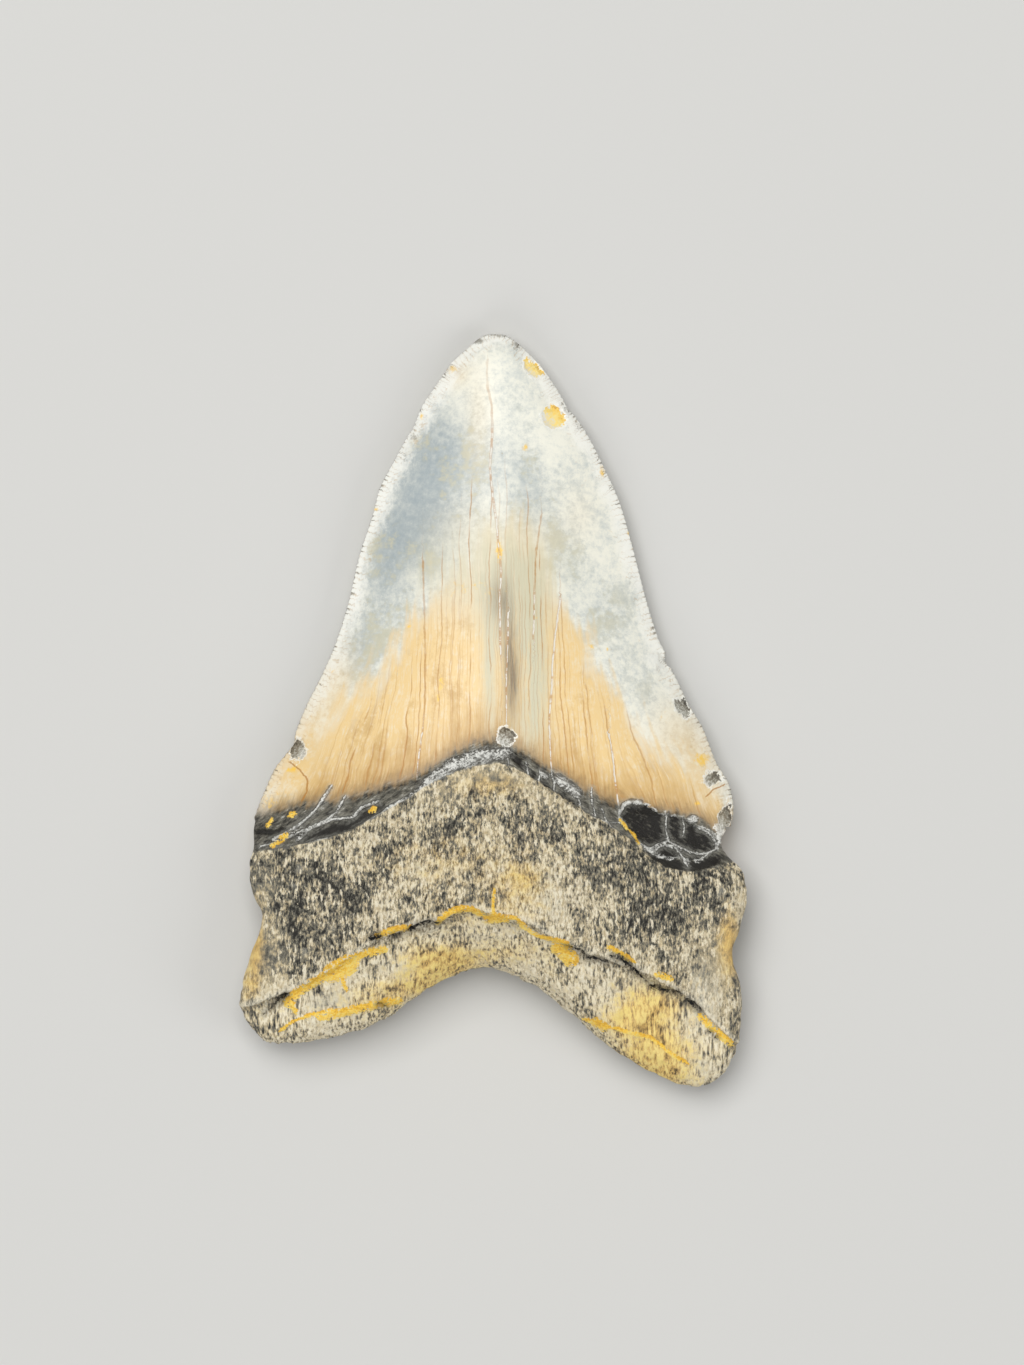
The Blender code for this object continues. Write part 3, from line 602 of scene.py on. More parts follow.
def surface_fields(points, sides):
    """What the material and the relief need to know of each point, in millimetres or as shares."""
    x, y, z = points.T
    plan = points[:, :2]
    under = ease(0.3, -1.2, z - curve(RIM_HEIGHT, y))
    neck = curve(FLAT_SIDE_NECK, x)
    along_ledge = np.stack([x / LEDGE_WAVE + 11.3, 0 * x + 5.7, 0 * x + 4.0], axis=1)
    wander = LEDGE_WANDER * bumps(along_ledge, (1, 1, 1))
    lean = np.minimum(np.abs(x) / FIBRE_MIDDLE, 1.0) ** FIBRE_BEND
    edge, run = edge_distances(points, sides)
    chip, shading_side_of_chip = chips(plan)
    fields = {
        "under": under,
        "enamel": y - mix(curve(ENAMEL_EDGE, x), neck, under),
        "root": mix(curve(ROOT_TOP, x), neck - NECK_GAP, under) - y,
        "edge": edge,
        "run": run,
        "fibre": x * mix(1.0, FIBRE_HALF_WIDTH / curve(HALF_WIDTH, y), lean),
        "tan": curve(TAN_EDGE, x) - y,
        "chip_shading_side": shading_side_of_chip,
    }
    upper_only = {
        "crest": curve(CREST, x) + wander * (1.0 - (x / ROOT_HALF_WIDTH) ** 2) - y,
        "flaked": depth_inside(plan, FLAKED_OUTLINE),
        "chip": chip,
    }
    for name, lines in (
        ("vein", VEINS), ("dark_strip", DARK_STRIPS), ("brown_crack", BROWN_CRACKS), ("clay", CLAY),
        ("gap", GAPS),
    ):
        upper_only[name], fields[name + "_across"] = strokes(plan, lines)
    soft = {
        "blue": BLUE_CLOUDS, "haze": TAN_HAZE, "stripe": PALE_STRIPE, "streak": GREY_STREAK, "stain": STAINS,
        "smudge": SMUDGES, "smooth": SMOOTH_BONE, "dark": ROOT_DARK, "warm": ROOT_WARM, "pale": ROOT_PALE,
    }
    fields.update({name: mix(values, FAR_OUTSIDE, under) for name, values in upper_only.items()})
    fields.update({name: soft_spots(plan, spots) * (1.0 - under) for name, spots in soft.items()})
    for name, line in CRACKS.items():
        ends = np.maximum(np.array(line)[:, 0].min() - y, y - np.array(line)[:, 0].max())
        away = x - curve(line, y)
        fields[name] = np.where(ends > 0, np.sign(away) * np.hypot(away, ends), away) + FAR_AWAY * under
    return fields


def relief(points, fields, sizes):
    """How far each point moves outwards, in millimetres."""
    rooted = ease(0.0, 0.8, fields["root"])
    filled = ease(-0.2, 0.3, fields["clay"])
    pits = (1.0 - 0.8 * fields["smooth"]) * ease(0.02, 0.45, bumps(points, PIT_SIZE))
    lumps = bumps(points + 31.0, LUMP_SIZE)
    ragged = bumps(points + 57.0, RAGGED_SIZE)
    move = rooted * (1.0 - filled) * (LUMP_HEIGHT * lumps - sizes.pit_depth / MM * pits)
    move += CLAY_HEIGHT * filled * rooted
    lip = ease(-1.6, -0.5, fields["crest"]) * ease(0.2, -0.2, fields["crest"])
    move += LIP_HEIGHT * lip * (0.6 + 0.8 * ragged)
    move -= sizes.gap_depth / MM * ease(0.0, 0.3, fields["gap"] + 0.5 * ragged)
    move -= sizes.flake_depth / MM * ease(-0.15, 0.25, fields["flaked"] + 0.25 * ragged)
    move -= CHIP_DEPTH * ease(-0.15, 0.25, fields["chip"] + 0.2 * ragged)
    move -= STRIP_DEPTH * ease(-0.2, 0.2, fields["dark_strip"] + 0.2 * ragged)
    return move + VEIN_HEIGHT * (1.0 + ragged) * ease(-0.25, 0.1, fields["vein"] + 0.2 * ragged)


def shape_tooth(tooth, sizes):
    """Adds the relief to the mesh and stores the fields on it as attributes."""
    mesh = tooth.data
    points = read_points(mesh)
    sides = cutting_edges(mesh, points)
    deepen_serrations(points, sides, sizes.serration_gain)
    fields = surface_fields(points, sides)
    normals = np.zeros(len(points) * 3)
    mesh.vertex_normals.foreach_get("vector", normals)
    points += normals.reshape(-1, 3) * relief(points, fields, sizes)[:, None]
    points[:, 2] = np.maximum(points[:, 2], 0.0)
    mesh.vertices.foreach_set("co", (points * MM).ravel())
    for name, values in fields.items():
        mesh.attributes.new(name, "FLOAT", "POINT").data.foreach_set("value", values.astype(np.float32))
    mesh.update()


def math_step(operation, turned=False):
    """A method that adds one math node, with its own number last where the step is turned."""
    def step(self, *others):
        return self.finish.math(operation, *((*others, self) if turned else (self, *others)))
    return step


class Signal:
    """A number that varies over the surface. Each sum, product or fade of it adds a shader node."""

    def __init__(self, finish, socket):
        self.finish = finish
        self.socket = socket

    __add__ = math_step("ADD")
    __radd__ = math_step("ADD", turned=True)
    __sub__ = math_step("SUBTRACT")
    __rsub__ = math_step("SUBTRACT", turned=True)
    __mul__ = math_step("MULTIPLY")
    __truediv__ = math_step("DIVIDE")
    __abs__ = math_step("ABSOLUTE")
    floor = math_step("FLOOR")
    fract = math_step("FRACT")
    at_least = math_step("MAXIMUM")

    def fade(self, start, end, low=0.0, high=1.0):
        """A soft step from low to high as the number goes from start to end."""
        node = self.finish.node("ShaderNodeMapRange", interpolation_type="SMOOTHSTEP")
        for socket, value in zip(node.inputs, (self, start, end, low, high)):
            self.finish.feed(socket, value)
        return Signal(self.finish, node.outputs[0])

    def near(self, reach):
        """1 where the number is nought, down to 0 at the reach on both sides."""
        return abs(self).fade(reach, 0.0)


class Finish:
    """Adds shader nodes to a material, one call for each step. Lengths are in millimetres.

    The nodes are laid out in columns in the editor, from the first place on.
    """
    first_place = (-3200, 700)
    node_step = (190, -170)
    nodes_down = 10

    def __init__(self, material):
        self.tree = material.node_tree
        self.count = 0
        scaled = self.node("ShaderNodeVectorMath", operation="MULTIPLY")
        self.feed(scaled.inputs[0], self.node("ShaderNodeTexCoord").outputs["Object"])
        scaled.inputs[1].default_value = (1 / MM,) * 3
        self.place = scaled.outputs[0]
        parts = self.node("ShaderNodeSeparateXYZ")
        self.feed(parts.inputs[0], self.place)
        x, self.along, z = (Signal(self, output) for output in parts.outputs)
        wave = self.noise(self.place, (5.0, 8.0, 6.0), detail=3, roughness=0.35, shift=77.0)
        self.fibre = self.field("fibre") + wave * 1.6
        self.strands = self.vector(self.fibre, self.along, z)
        away = abs(x - 2.0)
        down = away * 0.87 - self.along * 0.5
        across = away * 0.5 + self.along * 0.87
        self.bands = self.vector(down, across, z)

    def node(self, kind, **settings):
        made = self.tree.nodes.new(kind)
        steps = divmod(self.count, self.nodes_down)
        made.location = [self.first_place[i] + self.node_step[i] * steps[i] for i in (0, 1)]
        self.count += 1
        for name, value in settings.items():
            setattr(made, name, value)
        return made

    def feed(self, socket, value):
        value = value.socket if isinstance(value, Signal) else value
        if isinstance(value, bpy.types.NodeSocket):
            self.tree.links.new(value, socket)
        else:
            socket.default_value = value

    def field(self, name):
        return Signal(self, self.node("ShaderNodeAttribute", attribute_name=name).outputs["Fac"])

    def vector(self, x, y, z):
        node = self.node("ShaderNodeCombineXYZ")
        for socket, value in zip(node.inputs, (x, y, z)):
            self.feed(socket, value)
        return node.outputs[0]

    def math(self, operation, *values):
        node = self.node("ShaderNodeMath", operation=operation)
        for socket, value in zip(node.inputs, values):
            self.feed(socket, value)
        return Signal(self, node.outputs[0])

    def noise(self, vector, size, detail=2.0, roughness=0.5, shift=0.0):
        """Noise round 0 with grains of the given size across, along and up."""
        node = self.node("ShaderNodeTexNoise", noise_dimensions="3D")
        moved = self.node("ShaderNodeVectorMath", operation="MULTIPLY_ADD")
        self.feed(moved.inputs[0], vector)
        moved.inputs[1].default_value = [1.0 / length for length in size]
        moved.inputs[2].default_value = (shift, shift, shift)
        self.feed(node.inputs["Vector"], moved.outputs[0])
        node.inputs["Scale"].default_value = 1.0
        node.inputs["Detail"].default_value = detail
        node.inputs["Roughness"].default_value = roughness
        return Signal(self, node.outputs["Fac"]) - 0.5

    def stroke(self, name, rough, start=1.2, end=0.75):
        """Share covered by the strokes of this name, with edges made rough by noise."""
        across = abs(self.field(name + "_across") + rough)
        return across.fade(start, end) * self.field(name).fade(-0.35, -0.15)

    def hairlines(self, spacing, width, shift):
        """Fine lines down the crown, each with its own place, start, breaks and strength."""
        wobble = self.noise(self.place, (0.9, 1.6, 1.2), detail=2, shift=shift)
        place = (self.fibre + wobble * 0.3) / spacing
        cell = place.floor()
        chance = self.node("ShaderNodeTexWhiteNoise", noise_dimensions="1D")
        self.feed(chance.inputs["W"], cell + shift)
        own = self.node("ShaderNodeSeparateColor")
        self.feed(own.inputs[0], chance.outputs["Color"])
        own_place, own_start, own_strength = (Signal(self, output) for output in own.outputs)
        offset = own_place * 0.7 + 0.15
        across = (place.fract() - offset) * spacing
        middle = abs(self.fibre).fade(15.0, 6.0, 0.0, 14.0)
        start = (self.field("tan") + middle - own_start * 18.0).fade(-2.0, 2.0)
        breaks = self.noise(self.vector(cell * 3.7, self.along, 0.0), (1.0, 9.0, 1.0), shift=shift)
        strength = own_strength.fade(0.0, 1.0, 0.35, 1.0)
        return across.near(width) * start * breaks.fade(-0.16, 0.0) * strength

    def blend(self, share, first, second):
        node = self.node("ShaderNodeMix", data_type="RGBA")
        self.feed(node.inputs[0], share)
        for socket, colour in ((node.inputs[6], first), (node.inputs[7], second)):
            self.feed(socket, colour if isinstance(colour, bpy.types.NodeSocket) else (*colour, 1.0))
        return node.outputs[2]

    def grades(self, value, stops):
        """Colours along a value, given as place and colour. The ramp has two stops to start with."""
        node = self.node("ShaderNodeValToRGB")
        self.feed(node.inputs[0], value)
        ramp = node.color_ramp
        for number, (place, colour) in enumerate([stops[0], stops[-1], *stops[1:-1]]):
            stop = ramp.elements[number] if number < 2 else ramp.elements.new(place)
            stop.position = place
            stop.color = (*colour, 1.0)
        return node.outputs[0]


def crown_colour(f, colours, marks):
    """Enamel: ivory with blue-grey clouds above, tan below, hairlines, cracks and worn edges."""
    mottle = f.noise(f.place, (0.9, 1.1, 1.1), detail=6, roughness=0.72)
    drift = f.noise(f.place, (6.0, 8.0, 6.0), detail=4, roughness=0.6, shift=3.0)
    wisps = f.noise(f.place, (1.8, 1.2, 1.5), detail=5, roughness=0.7, shift=51.0)
    marble = drift * 0.9 + wisps + mottle * 0.8
    colour = f.blend(marble.fade(-0.15, 0.35) * 0.75, colours.ivory, colours.cool_white)
    cloud = f.field("blue") + drift * 0.9 + mottle + wisps * 0.7
    colour = f.blend(cloud.fade(-0.15, 1.25) * 0.92, colour, colours.blue_grey)
    beige = (wisps + drift * 1.5).fade(0.0, 0.3) * f.field("blue").fade(0.0, 0.5)
    colour = f.blend(beige * 0.7, colour, colours.stripe_pale)
    uneven = 1.0 + drift * 1.4 + mottle * 1.7 + wisps
    colour = f.blend(f.field("haze") * uneven, colour, colours.tan)

    silk = f.noise(f.strands, (0.22, 3.0, 3.0), detail=4, roughness=0.65)
    streaks = f.noise(f.strands, (1.3, 11.0, 6.0), detail=3, shift=8.0)
    reach = f.field("tan") + streaks * 15.0 + drift * 12.0 + mottle * 6.0
    fan = reach.fade(-3.0, 5.0) * f.along.fade(24.0, 11.0, 0.4, 0.97)
    colour = f.blend(fan, colour, colours.tan)
    paler = fan * (silk + mottle * 0.8).fade(-0.05, 0.3) * 0.5
    colour = f.blend(paler, colour, colours.ivory)
    duller = fan * (drift + streaks * 0.6 + mottle * 0.7).fade(0.0, -0.35) * 0.6
    colour = f.blend(duller, colour, colours.deep_tan)
    deeper = f.field("enamel") + streaks * 9.0 + drift * 10.0 + silk * 6.0
    colour = f.blend(deeper.fade(11.0, 0.0) * fan * 0.9, colour, colours.deep_tan)
    uneven = 1.0 + streaks * 1.6 + silk * 1.6
    colour = f.blend(f.field("stripe") * uneven, colour, colours.stripe_pale)
    colour = f.blend(f.field("streak") * uneven * 0.8, colour, colours.streak_grey)
    smoky = f.field("enamel") + silk * 3.5 + mottle * 3.0
    colour = f.blend(smoky.fade(3.4, 0.2) * 0.7, colour, colours.smoke_brown)

    rim = f.field("edge") + mottle * 3.0 + drift * 4.0
    rim = rim.fade(3.2, 0.4) * f.along.fade(-8.0, 20.0, 0.2, 0.85)
    colour = f.blend(rim, colour, colours.rim_white)
    colour = f.blend(marks["rib"] * 0.4, colour, colours.deep_tan)
    colour = f.blend(marks["notch"] * 0.65, colour, colours.notch_grey)
    stain = f.field("stain") + mottle * 1.8
    colour = f.blend(stain.fade(0.25, 0.8) * 0.8, colour, colours.ochre)

    colour = f.blend(marks["hairline"] * 0.75, colour, colours.hairline_and_shade_brown)
    colour = f.blend(marks["crack_side"] * 0.7, colour, colours.hairline_and_shade_brown)
    colour = f.blend(marks["crack"] * 0.9, colour, colours.crack_and_highlight_white)
    worn = f.field("smudge") + mottle * 2.0
    return f.blend(worn.fade(0.25, 0.9) * 0.75, colour, colours.notch_grey)


def crown_marks(f, tooth_pitch):
    """Shares of the crown's marks, used by its colour and its bumps."""
    foot = f.field("enamel").fade(0.2, 2.0)
    coarse_lines = f.hairlines(1.7, 0.17, 11.0)
    fine_lines = f.hairlines(0.8, 0.14, 47.0) * f.field("tan").fade(0.0, 8.0) * 0.55

    jitter = f.noise(f.place, (0.5, 1.5, 1.0), detail=3)
    along = f.noise(f.place, (9.0, 1.5, 9.0), detail=3, roughness=0.6, shift=14.0)
    cores, borders = [], []
    for name, width, filled_from in (
        ("middle_crack", 0.11, 50.0), ("right_crack", 0.11, 30.0), ("left_crack", 0.09, -2.0),
        ("upper_crack", 0.08, 20.0), ("corner_crack", 0.11, 30.0), ("lower_crack", 0.08, 30.0),
    ):
        away = abs(f.field(name) + jitter * 0.5)
        filled = (f.along + along * 14.0).fade(filled_from + 2.0, filled_from - 2.0)
        cores.append(away.fade(width * 1.7, width * 0.6) * along.fade(-0.12, 0.02, 0.1, 1.0) * filled)
        borders.append(away.fade(width * 2.6, width))
    crack_side = reduce(Signal.at_least, borders) * along.fade(0.1, -0.2, 0.6, 1.0)

    beat = (f.field("run") / tooth_pitch + along * 2.0).fract()
    between = abs(beat - 0.5)
    each = f.noise(f.place, (1.7, 1.7, 1.7), detail=2, shift=40.0)
    on_enamel = f.field("enamel").fade(0.0, 2.0)
    length = f.field("edge") - each * 10.0
    rib = between.fade(0.34, 0.5) * length.fade(2.6, 0.2) * on_enamel
    bite = (f.field("edge") - each * 1.8).fade(0.5, 0.05)
    notch = between.fade(0.28, 0.46) * bite * each.fade(-0.1, 0.15) * on_enamel
    return {
        "hairline": coarse_lines.at_least(fine_lines) * foot,
        "crack": reduce(Signal.at_least, cores),
        "crack_side": crack_side * f.along.fade(58.0, 50.0, 0.4, 0.9),
        "rib": rib,
        "notch": notch,
    }


def band_colour(f, colours):
    """Dental band: smoky dark enamel, streaked down from the middle on both sides."""
    smoke = f.noise(f.bands, (1.8, 0.5, 1.0), detail=6, roughness=0.74, shift=9.0)
    return f.grades(smoke * 1.2 + 0.46, [
        (0.30, colours.dentine_and_shade_black), (0.44, colours.band_dark), (0.58, colours.root_grey),
        (0.74, colours.frost_and_highlight),
    ])


def band_marks(f, colours, colour, ragged, coarse):
    """Dark strips, the flaked area with its painted gloss highlights, and pale mineral veins, over the band
    and the enamel's edge.
    """
    wisps = f.noise(f.bands, (1.8, 0.42, 1.0), detail=5, roughness=0.75, shift=29.0)
    strip = f.stroke("dark_strip", ragged * 2.0 + wisps * 1.8, 1.35, 0.7)
    colour = f.blend(strip * 0.92, colour, colours.dentine_and_shade_black)
    flaked = f.field("flaked") + ragged * 0.8 + coarse * 1.2
    # Bare dentine in the flaked area: dark, with grey and white streaks that are part grey variation and
    # part painted gloss highlights.
    bare_dentine_and_highlights = f.grades(wisps * 0.8 + coarse * 0.7 + 0.36, [
        (0.42, colours.dentine_and_shade_black), (0.56, colours.band_dark), (0.70, colours.root_grey),
        (0.85, colours.frost_and_highlight),
    ])
    colour = f.blend(flaked.fade(-0.08, 0.08), colour, bare_dentine_and_highlights)
    vein = f.field("vein") + ragged + wisps * 2.4
    colour = f.blend(vein.fade(-0.9, 0.2) * 0.45, colour, colours.vein_grey)
    border = f.stroke("vein", ragged * 5.0 + wisps * 4.0, 2.4, 1.3)
    colour = f.blend(border * 0.65, colour, colours.dentine_and_shade_black)
    fissures = f.noise(f.bands, (2.2, 0.32, 1.0), detail=5, roughness=0.7, shift=71.0)
    core = f.stroke("vein", ragged * 4.0 + wisps * 3.0, 1.05, 0.45)
    core *= (fissures + ragged * 0.6).fade(-0.14, 0.0, 0.2, 1.0)
    core *= (ragged * 1.2 + coarse).fade(-0.16, 0.12, 0.25, 1.0)
    rim = (flaked + ragged * 1.2).near(0.3) * coarse.fade(-0.14, 0.06)
    return f.blend(core.at_least(rim), colour, colours.frost_and_highlight)


def root_parts(f):
    """The bone's patterns: broad patches, fine grain, raised flecks and the fibres of the basal face."""
    smooth = 1.0 - f.field("smooth") * 0.85
    below = f.field("crest").fade(-0.4, 1.0)
    grain = f.noise(f.place, (0.38, 1.0, 0.65), detail=5, roughness=0.72, shift=2.0)
    fleck = f.noise(f.place, (0.60, 2.3, 1.2), detail=3, roughness=0.55, shift=12.0)
    return {
        "patch": f.noise(f.place, (4.5, 7.0, 6.0), detail=4, roughness=0.6, shift=23.0),
        "grain": grain * smooth * (1.0 - below * 0.6),
        "fleck": fleck * smooth * (1.0 - below * 0.75),
        "fibre": f.noise(f.place, (0.42, 2.4, 1.1), detail=4, roughness=0.6, shift=61.0) * below,
        "below": below,
    }


def root_colour(f, colours, bone, coarse):
    """Bone: grey ground with cream flecks and dark pits, with darker, warmer and paler areas, a painted
    highlight along the top of the ledge's lip and painted shadow just under the ledge.
    """
    dark, pale, warm = f.field("dark"), f.field("pale"), f.field("warm")
    patch, grain, fibre, below = bone["patch"], bone["grain"], bone["fibre"], bone["below"]
    tone = 0.6 + patch + grain * 2.3 + fibre * 2.7 - dark * 0.25 + pale * 0.12 + below * 0.11 + coarse * 0.9
    colour = f.grades(tone, [
        (0.15, colours.pit_and_shadow_dark), (0.42, colours.root_grey), (0.66, colours.root_tan),
        (0.90, colours.root_cream),
    ])
    greyer = (pale + coarse * 1.2 + patch * 1.2).fade(0.2, 1.0)
    colour = f.blend(greyer * 0.5, colour, colours.vein_grey)
    fleck = bone["fleck"] + patch * 0.15 + grain * 0.4
    raised = fleck + patch * 0.3 + coarse * 0.4 - dark * 0.06
    cream = f.blend(grain.fade(-0.1, 0.1), colours.root_tan, colours.root_cream)
    colour = f.blend(raised.fade(0.025, 0.075) * 0.95, colour, cream)
    colour = f.blend(fleck.fade(-0.1, -0.19) * 0.85, colour, colours.pit_and_shadow_dark)
    stain = warm + coarse + fibre * 0.8 + below * 0.06
    stained = f.grades(tone, [
        (0.15, colours.warm_pit), (0.55, colours.warm_bone), (0.95, colours.clay_light),
    ])
    colour = f.blend(stain.fade(0.0, 0.95) * 0.85, colour, stained)
    # Painted highlight in cream along the top of the ledge's lip, and painted shadow just under the ledge.
    ledge = f.field("crest") + coarse * 1.6
    lip = ledge.fade(-1.3, -0.3) * ledge.fade(0.2, -0.1) * grain.fade(-0.15, 0.05)
    colour = f.blend(lip * 0.75, colour, colours.root_cream)
    shade = ledge.fade(-0.1, 0.3) * ledge.fade(2.2, 0.6) * grain.fade(0.12, -0.1)
    return f.blend(shade * 0.65, colour, colours.pit_and_shadow_dark)


def filled_and_open(f, colours, colour, bone, ragged, coarse):
    """Ochre clay and painted shadow in and around the gaps under the ledge, over the root and the band."""
    clay = f.stroke("clay", ragged * 6.0 + coarse * 3.5, 1.45, 0.85)
    clay_tone = f.grades(ragged * 2.8 + coarse * 1.4 + 0.52, [
        (0.20, colours.clay_shade), (0.48, colours.ochre), (0.80, colours.clay_light),
    ])
    colour = f.blend(clay * bone["grain"].fade(-0.25, -0.08), colour, clay_tone)
    # Painted shadow: a soft dark surround round each gap, and a near-black core inside it.
    gap = f.field("gap") + ragged * 2.0 + coarse * 1.2
    colour = f.blend(gap.fade(-1.0, 0.1) * 0.5, colour, colours.pit_and_shadow_dark)
    core = f.stroke("gap", ragged * 4.5 + coarse * 2.5, 1.1, 0.6) * coarse.fade(-0.12, 0.03)
    return f.blend(core, colour, tuple(0.2 * part for part in colours.pit_and_shadow_dark))


def chipped_colour(f, colours, colour, ragged, coarse):
    """Small chips: grey and streaky low on the crown, filled with yellow clay near the tip, each graded from
    a painted highlight on its lower, inner side to painted shade on its upper, outer side.
    """
    chip = f.field("chip") + ragged * 1.2 + coarse * 2.4
    # Painted light across each chip: the grades run from a painted highlight on the lower, inner side to
    # painted shade on the upper, outer side, over the grey or clay fill.
    lean = f.field("chip_shading_side") + ragged * 0.8 + coarse
    grey = f.grades(lean * 0.4 + ragged * 1.1 + 0.52, [
        (0.15, colours.frost_and_highlight), (0.40, colours.vein_grey), (0.60, colours.notch_grey),
        (0.85, colours.dentine_and_shade_black),
    ])
    yellow = f.grades(lean * 0.45 + ragged * 0.5 + 0.42, [
        (0.15, colours.crack_and_highlight_white), (0.40, colours.clay_light), (0.66, colours.ochre),
        (0.84, colours.hairline_and_shade_brown),
    ])
    inside = f.blend(f.along.fade(25.0, 35.0), grey, yellow)
    colour = f.blend(chip.fade(-0.05, 0.2) * 0.9, colour, inside)
    rim = (chip + 0.1).near(0.28) * coarse.fade(-0.2, -0.02)
    colour = f.blend(rim * 0.85, colour, colours.rim_white)
    thin = f.stroke("brown_crack", ragged * 2.0 + coarse * 2.5) * 0.75
    return f.blend(thin, colour, colours.hairline_and_shade_brown)


def tooth_material(colours, tooth_pitch):
    """One finish for the whole tooth: enamel, band and root, told apart by the mesh's attributes."""
    material = bpy.data.materials.new("fossil tooth")
    material.use_nodes = True
    shader = material.node_tree.nodes["Principled BSDF"]
    f = Finish(material)
    ragged = f.noise(f.place, (0.42, 0.42, 0.42), detail=5, roughness=0.68, shift=17.0)
    coarse = f.noise(f.place, (1.5, 1.5, 1.5), detail=3, roughness=0.6, shift=33.0)
    feather = f.noise(f.strands, (0.6, 3.0, 3.0), detail=4, roughness=0.6, shift=30.0)
    bone = root_parts(f)
    marks = crown_marks(f, tooth_pitch)

    to_band = (f.field("enamel") + feather * 3.6 + coarse * 1.8).fade(1.4, -0.7)
    to_root = (f.field("root") + ragged * 0.9 + coarse * 0.8).fade(-0.15, 0.2)
    colour = f.blend(to_band, crown_colour(f, colours, marks), band_colour(f, colours))
    colour = band_marks(f, colours, colour, ragged, coarse)
    colour = f.blend(to_root, colour, root_colour(f, colours, bone, coarse))
    colour = filled_and_open(f, colours, colour, bone, ragged, coarse)
    f.feed(shader.inputs["Base Color"], chipped_colour(f, colours, colour, ragged, coarse))

    on_root = f.field("root").fade(-0.2, 0.4)
    glossy = f.field("flaked").fade(-0.1, 0.2)
    roughness = 0.38 + on_root * 0.3 + ragged * 0.25 - glossy * 0.14
    f.feed(shader.inputs["Roughness"], roughness)
    shader.inputs["Specular IOR Level"].default_value = 0.35

    cut_in = marks["hairline"] * 0.015 + marks["crack"] * 0.03 + marks["rib"] * 0.03 + marks["notch"] * 0.06
    band_bumps = ragged * f.field("enamel").fade(0.5, -0.5) * 0.3
    level = bone["fleck"] * 2.0 + bone["grain"] * 1.2 + bone["fibre"] * 0.9
    height = feather * 0.02 - cut_in + band_bumps + on_root * level * 0.3
    bump = f.node("ShaderNodeBump")
    bump.inputs["Distance"].default_value = MM
    f.feed(bump.inputs["Height"], height)
    f.feed(shader.inputs["Normal"], bump.outputs[0])
    return material


class FOSSIL_OT_make_tooth(bpy.types.Operator):
    """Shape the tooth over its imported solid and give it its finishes"""
    bl_idname = "fossil.make_tooth"
    bl_label = "Make the tooth"

    def execute(self, context):
        tooth = merged_copy_of_packed_tooth()
        smooth_faces(tooth, context.scene.tooth_sizes.smoothing)
        refine_band(tooth)
        shape_tooth(tooth, context.scene.tooth_sizes)
        tooth.data.materials.clear()
        pitch = context.scene.tooth_sizes.tooth_pitch / MM
        tooth.data.materials.append(tooth_material(context.scene.tooth_colours, pitch))
        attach(tooth, "root")
        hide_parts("tooth")
        return {"FINISHED"}


def add_soft_light(name, place, size, power):
    """A square light that faces the tooth."""
    bpy.ops.object.light_add(type="AREA", location=place)
    light = bpy.context.object
    light.name = light.data.name = name
    light.data.size = size
    light.data.energy = power
    light.rotation_euler = (-Vector(place)).to_track_quat("-Z", "Y").to_euler()


def add_camera(settings):
    """Looks straight down at the tooth, framed as wide as the picture."""
    distance = settings.camera_height - FRAMED_HEIGHT
    place = (CAMERA_ACROSS, CAMERA_ALONG, settings.camera_height)
    bpy.ops.object.camera_add(location=place, rotation=(0, 0, 0))
    camera = bpy.context.object
    camera.name = camera.data.name = "camera over the tooth"
    camera.data.sensor_width = 36.0
    view_length = settings.view_width * PICTURE_HEIGHT / PICTURE_WIDTH
    camera.data.lens = camera.data.sensor_width * distance / view_length
    camera.data.clip_start = NEAREST_SEEN
    bpy.context.scene.camera = camera


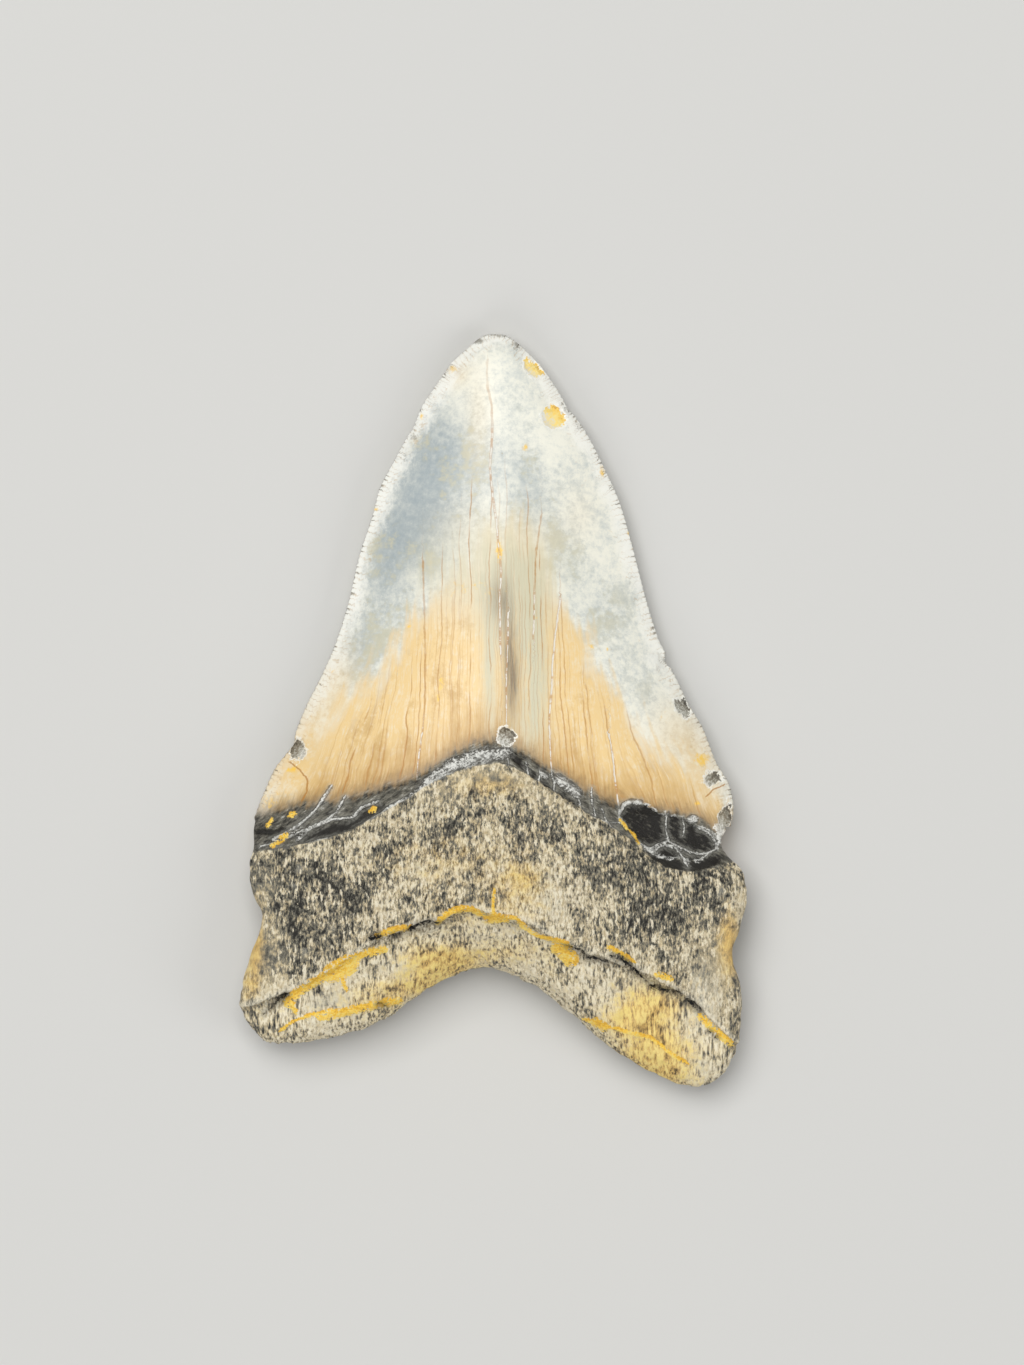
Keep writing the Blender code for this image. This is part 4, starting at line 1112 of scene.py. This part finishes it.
class FOSSIL_OT_set_stage(bpy.types.Operator):
    """Lay a pale floor, hang the soft lights and set the camera straight above"""
    bl_idname = "fossil.set_stage"
    bl_label = "Set the stage"

    def execute(self, context):
        settings = context.scene.stage_settings
        bpy.ops.object.select_all(action="DESELECT")
        bpy.ops.mesh.primitive_circle_add(vertices=64, radius=FLOOR_RADIUS, fill_type="NGON")
        floor = context.object
        floor.name = "pale_floor"
        material = bpy.data.materials.new("pale floor")
        material.use_nodes = True
        shader = material.node_tree.nodes["Principled BSDF"]
        shader.inputs["Base Color"].default_value = (*settings.floor_colour, 1.0)
        shader.inputs["Roughness"].default_value = 0.9
        floor.data.materials.append(material)
        for name, place, width, share in LIGHTS:
            add_soft_light(name, place, width, settings.light_power * share)
        add_camera(settings)
        world = context.scene.world or bpy.data.worlds.new("soft room")
        context.scene.world = world
        world.use_nodes = True
        room = world.node_tree.nodes["Background"]
        room.inputs["Color"].default_value = ROOM_COLOUR
        room.inputs["Strength"].default_value = ROOM_STRENGTH
        context.scene.view_settings.view_transform = "Standard"
        return {"FINISHED"}


class FOSSIL_PT_panel(bpy.types.Panel):
    """Lists the tooth's steps and settings"""
    bl_idname = "FOSSIL_PT_panel"
    bl_label = "Fossil tooth"
    bl_space_type = "VIEW_3D"
    bl_region_type = "UI"
    bl_category = "Tooth"

    def draw(self, context):
        for group, operator in (
            (context.scene.tooth_sizes, None),
            (context.scene.tooth_colours, FOSSIL_OT_make_tooth.bl_idname),
            (context.scene.stage_settings, FOSSIL_OT_set_stage.bl_idname),
        ):
            for name in group.__annotations__:
                self.layout.prop(group, name)
            if operator:
                self.layout.operator(operator)


CLASSES = (
    ToothSizes, ToothColours, StageSettings, FOSSIL_OT_make_tooth, FOSSIL_OT_set_stage, FOSSIL_PT_panel,
)


def register():
    for cls in CLASSES:
        bpy.utils.register_class(cls)
    bpy.types.Scene.tooth_sizes = PointerProperty(type=ToothSizes)
    bpy.types.Scene.tooth_colours = PointerProperty(type=ToothColours)
    bpy.types.Scene.stage_settings = PointerProperty(type=StageSettings)


def unregister():
    del bpy.types.Scene.stage_settings
    del bpy.types.Scene.tooth_colours
    del bpy.types.Scene.tooth_sizes
    for cls in reversed(CLASSES):
        bpy.utils.unregister_class(cls)


def main():
    register()
    bpy.ops.fossil.make_tooth()
    bpy.ops.fossil.set_stage()


if __name__ == "__main__":
    main()
